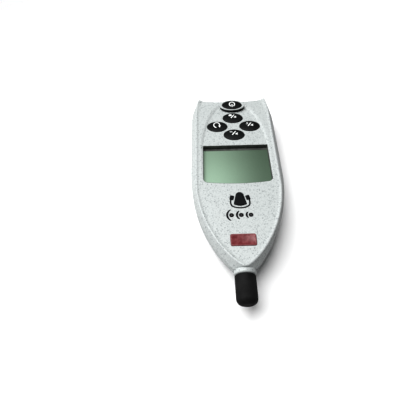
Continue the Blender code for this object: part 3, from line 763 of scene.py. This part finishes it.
def half_solid(name, section, rows):
    """Loft half sections along Y and mirror them in X into one closed solid."""
    bm = bmesh.new()
    grid = [[bm.verts.new((x, y, z)) for x, z in section(y)] for y in rows]
    for row, after in zip(grid, grid[1:]):
        skin(bm, row, after, closed=False)
    bm.faces.new(grid[0])
    bm.faces.new(grid[-1])
    thing = make_object(name, mesh_of(name, bm))
    mirror = thing.modifiers.new("mirror", "MIRROR")
    mirror.use_clip = True
    mirror.merge_threshold = 0.00001
    return baked(thing)


def front_section(y):
    """Half section of the upper case, filled down to the parting line."""
    crest = crest_half(y)
    wide = max(wide_half(y), crest + WALL_LEAN)
    face_count = 64
    crowding = 1.6
    points = []
    for i in range(face_count + 1):
        x = crest * (1.0 - (1.0 - i / face_count) ** crowding)
        points.append((x, face_surface(x, y)))
    crest_z = points[-1][1]
    bend = (crest + WALL_BEND[0] * (wide - crest), crest_z - WALL_BEND[1] * (crest_z - WALL_Z))
    wall_count = 10
    for i in range(wall_count):
        u = (i + 0.35) / wall_count
        x = (1 - u) ** 2 * crest + 2 * u * (1 - u) * bend[0] + u * u * wide
        z = (1 - u) ** 2 * crest_z + 2 * u * (1 - u) * bend[1] + u * u * WALL_Z
        points.append((x, z))
    bottom = PARTING_Z + GAP / 2
    return points + [(wide, WALL_Z), (wide, bottom + GROOVE), (wide - GROOVE, bottom), (0.0, bottom)]


def rear_section(y):
    """Half section of the lower case, filled up to the parting line."""
    wide = max(wide_half(y), crest_half(y) + WALL_LEAN)
    top = PARTING_Z - GAP / 2
    start = [(0.0, top), (wide - GROOVE, top), (wide, top - GROOVE), (wide, WAIST_Z)]
    return start + back_curve(wide, WAIST_Z, back_height(y), back_power(y), 30)


def hollow_section(y):
    """Half section of the space inside both shells."""
    top = FACE_Z - TOP_WALL
    wide = wide_half(y) - SIDE_WALL
    inset = 1.2 * MM
    points = [(0.0, top), (crest_half(y) - inset, top), (wide, PARTING_Z + MM), (wide, WAIST_Z)]
    return points + back_curve(wide, WAIST_Z, back_height(y) + BACK_WALL, back_power(y), 10)


def far_end_tool():
    """What is cut off beyond the curved far end."""
    count = 120
    reach = HALF_WIDTH + OVERRUN
    beyond = HALF_LENGTH + 10 * MM
    xs = [reach * (2 * i / count - 1) for i in range(count + 1)]
    outline = [(x, far_edge(x)) for x in xs] + [(reach, beyond), (-reach, beyond)]
    return prism("tool_far_end", outline, UNDER_Z, OVER_Z)


def hollow_tool():
    """The space inside both shells, as one solid."""
    rows = stations(FAR_END_Y - FAR_WALL, NOSE_END_Y + 5 * MM, 4 * MM)
    return half_solid("tool_hollow", hollow_section, rows)


def tube_tool():
    """The bore in the nose, round the microphone tube."""
    end, base = TUBE_SPAN
    profile = [(0, end), (TUBE_BORE, end), (TUBE_BORE, base), (0, base)]
    return turned("tool_tube", profile, (0, 0, AXIS_Z), along_y=True)


def window_outline(grow, count=12):
    """The display opening: square at the far corners, round at the near ones, with a bowed edge."""
    half = WINDOW_HALF + grow
    near = WINDOW_NEAR_Y - grow
    corner = WINDOW_CORNER + grow
    right = arc((half - corner, near + corner), corner, 0, -80, count)
    span, start = right[-1]
    depth = start - (near - WINDOW_BULGE)
    ratios = [1 - i / count for i in range(1, 2 * count)]
    bow = [(span * t, start - depth * (1 - t ** 2)) for t in ratios]
    left = [(-x, y) for x, y in reversed(right)]
    return [(half, WINDOW_FAR_Y + grow)] + right + bow + left + [(-half, WINDOW_FAR_Y + grow)]


def make_front_shell():
    """Upper case: face, rim, panel and walls as one fine surface, with its openings cut through."""
    rows = stations(HALF_LENGTH + OVERRUN, NOSE_END_Y, 0.8 * MM)
    shell = half_solid("front_shell_skin", front_section, rows)
    tools = [prism("tool_window", window_outline(0.0), CUT_LOW_Z, CUT_HIGH_Z)]
    for node in ("key_upper", "key_left", "key_right", "key_lower"):
        outline = ellipse(KEY_HALF, middle(node)[:2], grow=GAP)
        tools.append(prism("tool_" + node, outline, CUT_LOW_Z, CUT_HIGH_Z))
    outline = ellipse(BOSS_HALF, middle("power_key")[:2], grow=-BOSS_SEAT)
    tools.append(prism("tool_power", outline, CUT_LOW_Z, CUT_HIGH_Z))
    for i in (1, 2, 3):
        outline = ellipse((GUIDE_HOLE, GUIDE_HOLE), middle(f"light_guide_{i}")[:2], 40)
        tools.append(prism(f"tool_guide_{i}", outline, CUT_LOW_Z, SMALL_CUT_HIGH_Z))
    size = half_size("badge")
    outline = rounded_box((size.x + BADGE_GAP, size.y + BADGE_GAP), middle("badge")[:2], BADGE_CORNER)
    tools.append(prism("tool_badge", outline, low("badge").z - GAP, SMALL_CUT_HIGH_Z))
    shell = cut(shell, [hollow_tool(), far_end_tool()])
    shell = cut(shell, [joined("tool_openings", tools), tube_tool()])
    return piece(shell, "case", PLASTIC, "speckled_plastic", "front_shell", angle=38)


# rings of the collar's two pieces: growth of the oval and height over the face, in millimetres
LIP_OUTSIDE = ((-0.40, 2.20), (-0.10, 2.34), (0.0, 2.52), (-0.05, 2.78), (-0.20, 2.95), (-0.45, 3.0))
LIP_INSIDE = ((0.3, 2.20), (0.3, 2.35), (0.3, 2.55), (0.3, 2.80), (0.40, 2.95), (0.60, 3.0))
WAIST_OUTSIDE = ((-0.3, -0.6), (-0.45, 0.05), (-0.60, 0.35), (-0.65, 1.0), (-0.55, 1.7), (-0.45, 2.15))
WAIST_INSIDE = ((0.3, -2.0), (0.3, 0.0), (0.3, 0.6), (0.3, 1.2), (0.3, 1.7), (0.3, 2.15))


def oval_rings(half, centre, rings):
    return [[(x, y, FACE_Z + z * MM) for x, y in ellipse(half, centre, grow=grow * MM)]
            for grow, z in rings]


def make_boss():
    """Oval collar round the power key: a pale lip over an undercut waist, coloured black to paint the shade
    under the lip.
    """
    at = middle("power_key")[:2]
    # the waist is black to paint the shade under the lip
    looks = (("power_boss", PLASTIC, "speckled_plastic", LIP_OUTSIDE, LIP_INSIDE),
             ("boss_waist_painted_shade", KEY_BLACK, "black_plastic", WAIST_OUTSIDE, WAIST_INSIDE))
    for name, material, slot, outside, inside in looks:
        outer = oval_rings(BOSS_HALF, at, outside)
        inner = oval_rings(POWER_HALF, at, inside)
        piece(frame_solid(name, outer, inner), "case", material, slot, angle=50)


SCREWS = {i: f"case_screw_{i}" for i in range(1, 5)}
SEAT_RADIUS = 2.6 * MM
SEAT_DEPTH = 1.8 * MM
COLUMN_RADII = (3.3 * MM, 1.6 * MM)
COLUMN_FOOT_Z = 5.4 * MM
DOOR_RAIL = 0.8 * MM


def door_prism(name, half, low_z, high_z):
    """A box-shaped tool from the door's near end out past the far end of the case."""
    near = low("battery_door").y - GAP
    outline = [(-half, near), (half, near), (half, PAST_END_Y), (-half, PAST_END_Y)]
    return prism(name, outline, low_z, high_z)


def make_rear_shell():
    """Lower case, with the battery opening, the door grooves and the screw seats."""
    rows = stations(HALF_LENGTH + OVERRUN, NOSE_END_Y, 1.6 * MM)
    shell = half_solid("rear_shell_skin", rear_section, rows)
    door = high("battery_door")
    top = door.z + GAP
    opening = door_prism("tool_door", door.x - DOOR_RAIL + GAP, UNDER_Z, top + MM)
    grooves = door_prism("tool_grooves", door.x + GAP, DOOR_RAIL, top)
    seats = []
    for i, node in SCREWS.items():
        outline = ellipse((SEAT_RADIUS, SEAT_RADIUS), middle(node)[:2], 40)
        seats.append(prism(f"tool_seat_{i}", outline, -MM, low(node).z + SEAT_DEPTH))
    shell = cut(shell, [hollow_tool(), far_end_tool()])
    columns = []
    for i, node in SCREWS.items():
        at = middle(node)[:2]
        rings = []
        for radius in COLUMN_RADII:
            circle = ellipse((radius, radius), at, 32)
            rings.append([[(*p, z) for p in circle] for z in (COLUMN_FOOT_Z, PARTING_Z - GAP)])
        columns.append(frame_solid(f"screw_column_{i}", *rings))
    shell = cut(shell, [opening, grooves, tube_tool(), joined("tool_seats", seats)])
    piece(shell, "case", PLASTIC, "speckled_plastic", "rear_shell", angle=38)
    columns = joined("screw_columns", columns)
    piece(columns, "case", PLASTIC, "speckled_plastic")


# ---- keys and their symbols
def dome_height(node, half, x, y):
    """Top of a key's dome at a point."""
    at = middle(node)
    ratio = ((x - at.x) / half[0]) ** 2 + ((y - at.y) / half[1]) ** 2
    return high(node).z - SYMBOL_HEIGHT - KEY_DOME * ratio


def key_half(node):
    return POWER_HALF if node == "power_key" else KEY_HALF


def make_key(node, body):
    """Domed oval key with a rounded shoulder, over the flange and plunger of the CAD key."""
    half = key_half(node)
    at = middle(node)
    top = high(node).z - SYMBOL_HEIGHT
    foot = low(node).z
    radius = half[0]
    profile = [(radius * r, top - KEY_DOME * r * r) for r in DOME_RATIOS]
    profile += [(radius * ratio, top - KEY_DOME - drop * MM) for ratio, drop in KEY_SHOULDER]
    flange = radius + KEY_FLANGE
    under = LEDGE_Z - KEY_FLANGE
    profile += [(radius, LEDGE_Z), (flange, LEDGE_Z), (flange, under), (KEY_PLUNGER, under),
                (KEY_PLUNGER, foot), (0, foot)]
    key = turned(node + "_skin", profile, (at.x, at.y, 0), stretch=half[1] / half[0], steps=96)
    piece(key, body, KEY_BLACK, "key_rubber", node)


def flat_shape(bm, outline):
    """Add one flat filled outline to a sheet of symbols."""
    bm.faces.new([bm.verts.new((x, y, 0.0)) for x, y in outline])


def thick_line(points, width):
    """Outline of a line of even width through points."""
    left = []
    right = []
    for i, point in enumerate(points):
        before = Vector(points[max(i - 1, 0)])
        after = Vector(points[min(i + 1, len(points) - 1)])
        direction = (after - before).normalized()
        side = Vector((-direction.y, direction.x)) * width / 2
        left.append(tuple(Vector(point) + side))
        right.append(tuple(Vector(point) - side))
    return left + right[::-1]


def band(bm, points, width):
    """A line of even width, as a strip of short quads."""
    outline = thick_line(points, width)
    count = len(points)
    left = [bm.verts.new((*p, 0.0)) for p in outline[:count]]
    right = [bm.verts.new((*p, 0.0)) for p in outline[count:][::-1]]
    skin(bm, left, right, closed=False)


def power_symbol(bm):
    """Open ring with a bar in its gap; the gap faces the tip."""
    width = 0.80 * MM
    band(bm, arc((0, 0), 2.1 * MM, -62, 242, 40), width)
    band(bm, in_mm([(0, -0.1), (0, -2.5)]), width)


def loop_symbol(bm):
    """Circular arrow."""
    band(bm, arc((-0.4 * MM, 0), 2.3 * MM, -12, 262, 40), 0.72 * MM)
    flat_shape(bm, in_mm([(0.9, -0.7), (2.9, -0.3), (1.9, -2.5)]))


def slash_and_arrow(bm):
    """What three of the symbols share."""
    band(bm, in_mm([(1.35, 1.6), (-1.45, -1.65)]), 0.75 * MM)
    flat_shape(bm, in_mm([(0.55, -1.0), (2.85, 0.45), (2.65, -1.75)]))


def upper_symbol(bm):
    """Slash and arrow with a filled block."""
    slash_and_arrow(bm)
    flat_shape(bm, rounded_box((1.2 * MM, 0.85 * MM), (-1.9 * MM, 1.0 * MM), 0.4 * MM))


def right_symbol(bm):
    """Slash and arrow with an open ring."""
    slash_and_arrow(bm)
    band(bm, arc((-2.0 * MM, 1.0 * MM), 0.75 * MM, -150, 120, 24), 0.40 * MM)


def lower_symbol(bm):
    """Slash and arrow with two short bars."""
    slash_and_arrow(bm)
    for shift in (-0.55, 0.55):
        band(bm, in_mm([(-2.5 + shift, 1.5), (-1.9 + shift, 0.5)]), 0.45 * MM)


def pressed_on(bm, name, height_at, thickness):
    """Lay a flat sheet of shapes on a surface and give it thickness."""
    bmesh.ops.triangulate(bm, faces=bm.faces[:])
    bmesh.ops.subdivide_edges(bm, edges=bm.edges[:], cuts=2, use_grid_fill=True)
    for vertex in bm.verts:
        vertex.co.z = height_at(vertex.co.x, vertex.co.y)
    bmesh.ops.recalc_face_normals(bm, faces=bm.faces[:])
    for face in bm.faces:
        if face.normal.z < 0:
            face.normal_flip()
    bottom = bmesh.ops.extrude_face_region(bm, geom=bm.faces[:])
    for item in bottom["geom"]:
        if isinstance(item, bmesh.types.BMVert):
            item.co.z += thickness
    return make_object(name, mesh_of(name, bm))


def make_symbols():
    """White symbols on the keys, read from the far end, set toward the far side of each key."""
    shapes = {"power_key": (power_symbol, 0.3), "key_upper": (upper_symbol, 1.4),
              "key_left": (loop_symbol, 1.2), "key_right": (right_symbol, 1.2),
              "key_lower": (lower_symbol, 1.3)}
    for node, (draw, shift) in shapes.items():
        half = key_half(node)
        at = middle(node)
        bm = bmesh.new()
        draw(bm)
        bmesh.ops.scale(bm, vec=(1.0, SYMBOL_STRETCH, 1.0), verts=bm.verts)
        bmesh.ops.translate(bm, vec=(at.x, at.y + shift * MM, 0), verts=bm.verts)
        sheet = pressed_on(bm, node + "_symbol", lambda x, y: dome_height(node, half, x, y),
                           SYMBOL_HEIGHT)
        piece(sheet, KEYS[node], INK_WHITE, "key_rubber", angle=None)


# ---- printing, lamps and badge
def crescent(bm, centre, radius, reach, middle_width=1.35 * MM, end_width=0.6 * MM):
    """A sound wave on the -X side of a centre: an arc that thins toward its ends."""
    half_count = 12
    rows = []
    for i, (x, y) in enumerate(arc(centre, radius, 180 - reach, 180 + reach, 2 * half_count + 1)):
        away = abs(i / half_count - 1) ** 2
        width = middle_width + (end_width - middle_width) * away
        inward = (Vector(centre) - Vector((x, y))).normalized() * width
        rows.append((bm.verts.new((x, y, 0.0)), bm.verts.new((x + inward.x, y + inward.y, 0.0))))
    for (a, b), (c, d) in zip(rows, rows[1:]):
        bm.faces.new((a, b, d, c))


def make_prints():
    """Black pictogram of a head between ear defenders, and growing sound arcs beside the dots."""
    def on_face(x, y):
        return FACE_Z

    bm = bmesh.new()
    crown = arc((0, -13.5 * MM), 2.7 * MM, 168, 12, 13)
    corner = arc((3.35 * MM, -20.1 * MM), 0.95 * MM, 8, -78, 6)
    chin = in_mm([(1.8, -21.6), (0.0, -21.9), (-1.8, -21.6)])
    flat_shape(bm, crown + corner + chin + [(-x, y) for x, y in reversed(corner)])
    cup_x, cup_y = 5.3 * MM, -15.3 * MM
    cup_tilt = 14
    for sign in (-1, 1):
        tilt = math.radians(cup_tilt * sign)
        cup = [(sign * cup_x + x * math.cos(tilt) - y * math.sin(tilt),
                cup_y + x * math.sin(tilt) + y * math.cos(tilt))
               for x, y in rounded_box((1.4 * MM, 1.85 * MM), (0, 0), 0.5 * MM, 5)]
        flat_shape(bm, cup)
    side = in_mm([(6.0, -16.6), (6.25, -18.2), (6.3, -19.6)])
    turns = [math.radians(a) for a in range(8, 173, 12)]
    under = in_mm([(6.1 * math.cos(a), -20.3 - 3.0 * math.sin(a)) for a in turns])
    band(bm, side + under + [(-x, y) for x, y in reversed(side)], 1.05 * MM)
    sheet = pressed_on(bm, "print_head", on_face, INK_HEIGHT)
    piece(sheet, "case", INK_BLACK, "black_plastic", angle=None)

    dot_to_crest = 3.5
    for i, (radius, reach) in enumerate(((4.5, 70), (3.5, 70), (2.5, 72)), start=1):
        at = middle(f"light_guide_{i}")
        bm = bmesh.new()
        crescent(bm, (at.x + (radius - dot_to_crest) * MM, at.y), radius * MM, reach)
        sheet = pressed_on(bm, f"print_arc_{i}", on_face, INK_HEIGHT)
        piece(sheet, "case", INK_BLACK, "black_plastic", angle=None)


LAMP_RADIUS = 1.5 * MM
LAMP_FLANGE = 0.7 * MM
EYE_RADIUS = 0.36 * MM


def make_lamps():
    """Light guides: a black bead with a small smoked eye."""
    for i in (1, 2, 3):
        node = f"light_guide_{i}"
        at = middle(node)
        foot = low(node).z
        rim = (EYE_RADIUS, FACE_Z + 0.14 * MM)
        profile = [rim, (EYE_RADIUS + 0.12 * MM, FACE_Z + 0.19 * MM), (1.0 * MM, FACE_Z + 0.17 * MM),
                   (1.35 * MM, FACE_Z + 0.06 * MM), (LAMP_RADIUS, FACE_Z - 0.15 * MM),
                   (LAMP_RADIUS, LEDGE_Z), (EYE_RADIUS, LEDGE_Z), rim]
        bead = turned(f"lamp_bead_{i}", profile, (at.x, at.y, 0), steps=48)
        piece(bead, "case", CAP_BLACK, "black_plastic")
        flange = LAMP_RADIUS + LAMP_FLANGE
        core = [(0, FACE_Z + 0.10 * MM), (EYE_RADIUS * 0.6, FACE_Z + 0.08 * MM), (EYE_RADIUS, FACE_Z),
                (EYE_RADIUS, LEDGE_Z), (flange, LEDGE_Z), (flange, foot), (0, foot)]
        guide = turned(f"lamp_eye_{i}", core, (at.x, at.y, 0), steps=40)
        piece(guide, "case", SMOKED, "light_guide", node)


# rings of the badge: growth of its outline and height under its top, in millimetres
BADGE_RINGS = ((0.0, 0.28), (-0.06, 0.12), (-0.20, 0.02), (-0.34, 0.0), (-0.72, 0.0), (-0.82, 0.04),
               (-0.92, 0.10))
BADGE_ROUND = 1.2 * MM
BADGE_LEAST_ROUND = 0.3 * MM


def make_badge():
    """Plain red bar with soft edges and a shallow panel."""
    at = middle("badge")
    size = half_size("badge")
    top = high("badge").z
    levels = [(0.0, low("badge").z)] + [(grow * MM, top - drop * MM) for grow, drop in BADGE_RINGS]
    rings = []
    for grow, z in levels:
        corner = max(BADGE_ROUND + grow, BADGE_LEAST_ROUND)
        outline = rounded_box((size.x + grow, size.y + grow), at[:2], corner)
        rings.append([(x, y, z) for x, y in outline])
    badge = rings_solid("badge_skin", rings)
    piece(badge, "case", RED, "badge_red", "badge")


# ---- display
BEZEL_OUTSIDE = (-0.02 * MM, -0.02 * MM)
BEZEL_INSIDE = (-0.24 * MM, -0.20 * MM)
BEZEL_TOP_Z = FACE_Z - 0.10 * MM
# the strip that paints the far wall's shadow on the display: half depth, inset from the far edge, depths
# under the window
SHADOW_STRIP_HALF_Y = 1.55 * MM
SHADOW_STRIP_INSET = 0.45 * MM
SHADOW_STRIP_DEPTHS = (0.12 * MM, 0.02 * MM)


def make_display():
    """Dark lining of the display opening, and a black strip under the far edge of its window that paints
    the shadow of the opening's far wall on the display.
    """
    heights = (low("display_bezel").z, BEZEL_TOP_Z)
    outer, inner = ([[(x, y, z) for x, y in window_outline(grow)] for grow, z in zip(grows, heights)]
                    for grows in (BEZEL_OUTSIDE, BEZEL_INSIDE))
    bezel = frame_solid("bezel_skin", outer, inner)
    piece(bezel, "case", LINING_AND_SHADOW_BLACK, "black_plastic", "display_bezel")
    # painted shadow: the mask is a black strip under the window's far edge, where the far wall's shade
    # falls
    under = low("display_window").z
    half = (WINDOW_HALF + MM, SHADOW_STRIP_HALF_Y)
    outline = rounded_box(half, (0.0, WINDOW_FAR_Y - SHADOW_STRIP_INSET), 0.2 * MM, 4)
    mask = prism("painted_shadow_strip", outline, under - SHADOW_STRIP_DEPTHS[0], under - SHADOW_STRIP_DEPTHS[1])
    piece(mask, "case", LINING_AND_SHADOW_BLACK, "black_plastic")


# ---- tip
COLLAR_INSET = 0.6 * MM
COLLAR_ROOT = 0.6 * MM
COLLAR_CORNER = 1.35 * MM
CAP_CORNER = 3.9 * MM
CAP_CROWN = 2.2 * MM
CAP_STEP = 3.0 * MM
CHAMFER = 0.3 * MM
LIP = 0.25 * MM


def along_tip(node):
    """How far toward the tip a node starts and ends."""
    return -high(node).y, -low(node).y


def make_tip():
    """Collar, rubber cap, and slotted capsule, turned on the microphone axis."""
    centre = (0, 0, AXIS_Z)
    base, end = along_tip("tip_collar")
    radius = high("tip_collar").x - COLLAR_INSET
    root = base - COLLAR_ROOT
    ring = [(TUBE_BORE, end - CHAMFER), (TUBE_BORE + CHAMFER, end)] + round_edge(radius, end, COLLAR_CORNER)
    ring += [(radius - 0.15 * MM, root), (TUBE_BORE, root), (TUBE_BORE, end - CHAMFER)]
    collar = turned("collar_skin", ring, centre, steps=96, along_y=True)
    piece(collar, "case", PLASTIC, "speckled_plastic", "tip_collar")

    base, end = along_tip("tip_cap")
    radius = high("tip_cap").x
    cap = [(0, end)] + round_edge(radius, end, CAP_CORNER, range(0, 91, 9))
    cap += [(radius, base + LIP), (radius - 0.2 * MM, base), (TUBE_BORE + 0.2 * MM, base),
            (TUBE_BORE, base + LIP), (TUBE_BORE, end - CAP_STEP), (TUBE_BORE - MM, end - CAP_CROWN),
            (0, end - CAP_CROWN)]
    cap = turned("cap_skin", cap, centre, steps=96, along_y=True)
    piece(cap, "tip_cover", CAP_BLACK, "cap_rubber", "tip_cap")
    make_capsule()


CAPSULE_CORNER = 0.7 * MM
SLOT_COUNT = 8
SLOT_HALF = (0.28 * MM, 0.75 * MM)
SLOT_RADIUS = 2.9 * MM
SLOT_CORNER = 0.25 * MM
SLOT_DEPTH = 0.5 * MM


def make_capsule():
    """Metal capsule with a ring of slots through its rounded front."""
    node = "microphone_capsule"
    base, end = along_tip(node)
    radius = high(node).x
    profile = [(0, end)] + round_edge(radius, end, CAPSULE_CORNER) + [(radius, base), (0, base)]
    capsule = turned("capsule_skin", profile, (0, 0, AXIS_Z), steps=64, along_y=True)
    slot = rounded_box(SLOT_HALF, (0, SLOT_RADIUS), SLOT_CORNER, 5)
    tools = []
    for i in range(SLOT_COUNT):
        turn = Matrix.Rotation(math.tau * i / SLOT_COUNT, 4, "Y")
        rings = [[tuple(turn @ Vector((x, y, z)) + Vector((0, 0, AXIS_Z))) for x, z in slot]
                 for y in (-end - MM, -end + SLOT_DEPTH)]
        tools.append(rings_solid(f"tool_slot_{i}", rings))
    capsule = cut(capsule, [joined("tool_slots", tools)])
    piece(capsule, "case", CAPSULE, "microphone_metal", node)


# ---- screws
SHANK_RADIUS = 1.25 * MM
SHANK_POINT = (0.5 * MM, 1.2 * MM)
HEAD_DEPTH = 1.5 * MM
# side and crown of the head: share of its radius, and height over its crown in millimetres
HEAD_PROFILE = ((1.0, 0.75), (0.93, 0.38), (0.72, 0.10), (0.4, 0.0))
ARM_HALVES = ((1.35, 0.28), (0.28, 1.35))
ARM_DEPTH = 0.8 * MM


def make_screws():
    """Pan head screws with a cross recess."""
    for i, node in SCREWS.items():
        at = middle(node)
        top = high(node).z
        foot = low(node).z
        seat = foot + HEAD_DEPTH
        radius = high(node).x - at.x
        point_radius, point_length = SHANK_POINT
        profile = [(0, top), (point_radius, top), (SHANK_RADIUS, top - point_length),
                   (SHANK_RADIUS, seat), (radius, seat)]
        profile += [(radius * share, foot + rise * MM) for share, rise in HEAD_PROFILE] + [(0, foot)]
        screw = turned(f"screw_skin_{i}", profile, (at.x, at.y, 0), steps=40)
        arms = []
        for half_x, half_y in ARM_HALVES:
            outline = [(at.x + sx * half_x * MM, at.y + sy * half_y * MM) for sx, sy in CORNERS]
            arms.append(prism(f"tool_arm_{i}_{half_x}", outline, foot - MM, foot + ARM_DEPTH))
        screw = cut(screw, arms)
        piece(screw, "case", STEEL, "screw_steel", node)


def dress_frame():
    """Materials for the CAD nodes that stay as they are."""
    groups = (
        (PLASTIC, ("battery_door",)),
        (WINDOW, ("display_window",)),
        (GREEN_PAINTED_GLOW, ("display_cell",)),
        (GUIDE, ("backlight",)),
        (STRIP_GREY, ("display_strip_far", "display_strip_near", "microphone_lead")),
        (BOARD, ("main_board",)),
        (CHIP_BLACK, ("processor_chip", "amplifier_chip")),
        (BLACK, ("microphone_tube", "battery_frame")),
        (JACKET, ("battery_cell_1", "battery_cell_2")),
        (NICKEL, ("contact_plate_near", "contact_plate_far", "contact_spring_1", "contact_spring_2")),
        (SWITCH_GREY, ("power_switch", "switch_upper", "switch_left", "switch_right", "switch_lower")),
        (LAMP, ("lamp_1", "lamp_2", "lamp_3")),
    )
    for material, nodes in groups:
        for node in nodes:
            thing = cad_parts[node]
            thing.data.materials.clear()
            thing.data.materials.append(material)


# ---- floor, light and camera
def make_stage():
    """Round white floor just under the meter."""
    bm = bmesh.new()
    bmesh.ops.create_circle(bm, cap_ends=True, segments=96, radius=FLOOR_RADIUS)
    floor = make_object("floor", mesh_of("floor", bm))
    floor.location.z = cad_box[0][2] - FLOOR_SINK
    floor.data.materials.append(floor_white())


def area_light(name, direction, distance, size, power):
    """A square softbox that faces the meter from a direction."""
    lamp = bpy.data.lights.new(name, "AREA")
    lamp.shape = "SQUARE"
    lamp.size = size
    lamp.energy = power
    thing = make_object(name, lamp)
    thing.location = Vector(direction).normalized() * distance
    thing.rotation_euler = (-thing.location).to_track_quat("-Z", "Y").to_euler()


def make_light():
    """Softboxes overhead and low at the left, in a dim surround that the camera sees as white."""
    world = bpy.data.worlds.new("studio")
    world.use_nodes = True
    tree = world.node_tree
    dim = tree.nodes["Background"]
    fill(dim, Color=WHITE, Strength=SURROUND_LIGHT)
    white = tree.nodes.new("ShaderNodeBackground")
    fill(white, Color=WHITE)
    path = tree.nodes.new("ShaderNodeLightPath")
    blend = tree.nodes.new("ShaderNodeMixShader")
    tree.links.new(path.outputs["Is Camera Ray"], blend.inputs["Fac"])
    tree.links.new(dim.outputs["Background"], blend.inputs[1])
    tree.links.new(white.outputs["Background"], blend.inputs[2])
    tree.links.new(blend.outputs["Shader"], tree.nodes["World Output"].inputs["Surface"])
    bpy.context.scene.world = world
    for softbox in SOFTBOXES:
        area_light(*softbox)
    view = bpy.context.scene.view_settings
    view.view_transform = "Standard"
    view.gamma = VIEW_GAMMA


def make_camera():
    """Camera over the tip, looking down along the meter."""
    yaw, pitch, roll = (math.radians(a) for a in CAMERA_ANGLES)
    forward = Vector((-math.sin(yaw) * math.cos(pitch), math.cos(yaw) * math.cos(pitch), -math.sin(pitch)))
    right = Vector((math.cos(yaw), math.sin(yaw), 0.0))
    up = right.cross(forward)
    turned_right = math.cos(roll) * right + math.sin(roll) * up
    turned_up = -math.sin(roll) * right + math.cos(roll) * up
    data = bpy.data.cameras.new("camera")
    data.sensor_width = CAMERA_SENSOR
    data.lens = CAMERA_LENS
    data.clip_start = 0.01
    camera = make_object("camera", data)
    matrix = Matrix((turned_right, turned_up, -forward)).transposed().to_4x4()
    camera.matrix_world = Matrix.Translation(CAMERA_PLACE) @ matrix
    bpy.context.scene.camera = camera


make_camera()
make_light()
make_stage()
make_front_shell()
make_boss()
make_rear_shell()
make_display()
for key_node, key_body in KEYS.items():
    make_key(key_node, key_body)
make_symbols()
make_prints()
make_lamps()
make_badge()
make_tip()
make_screws()
dress_frame()
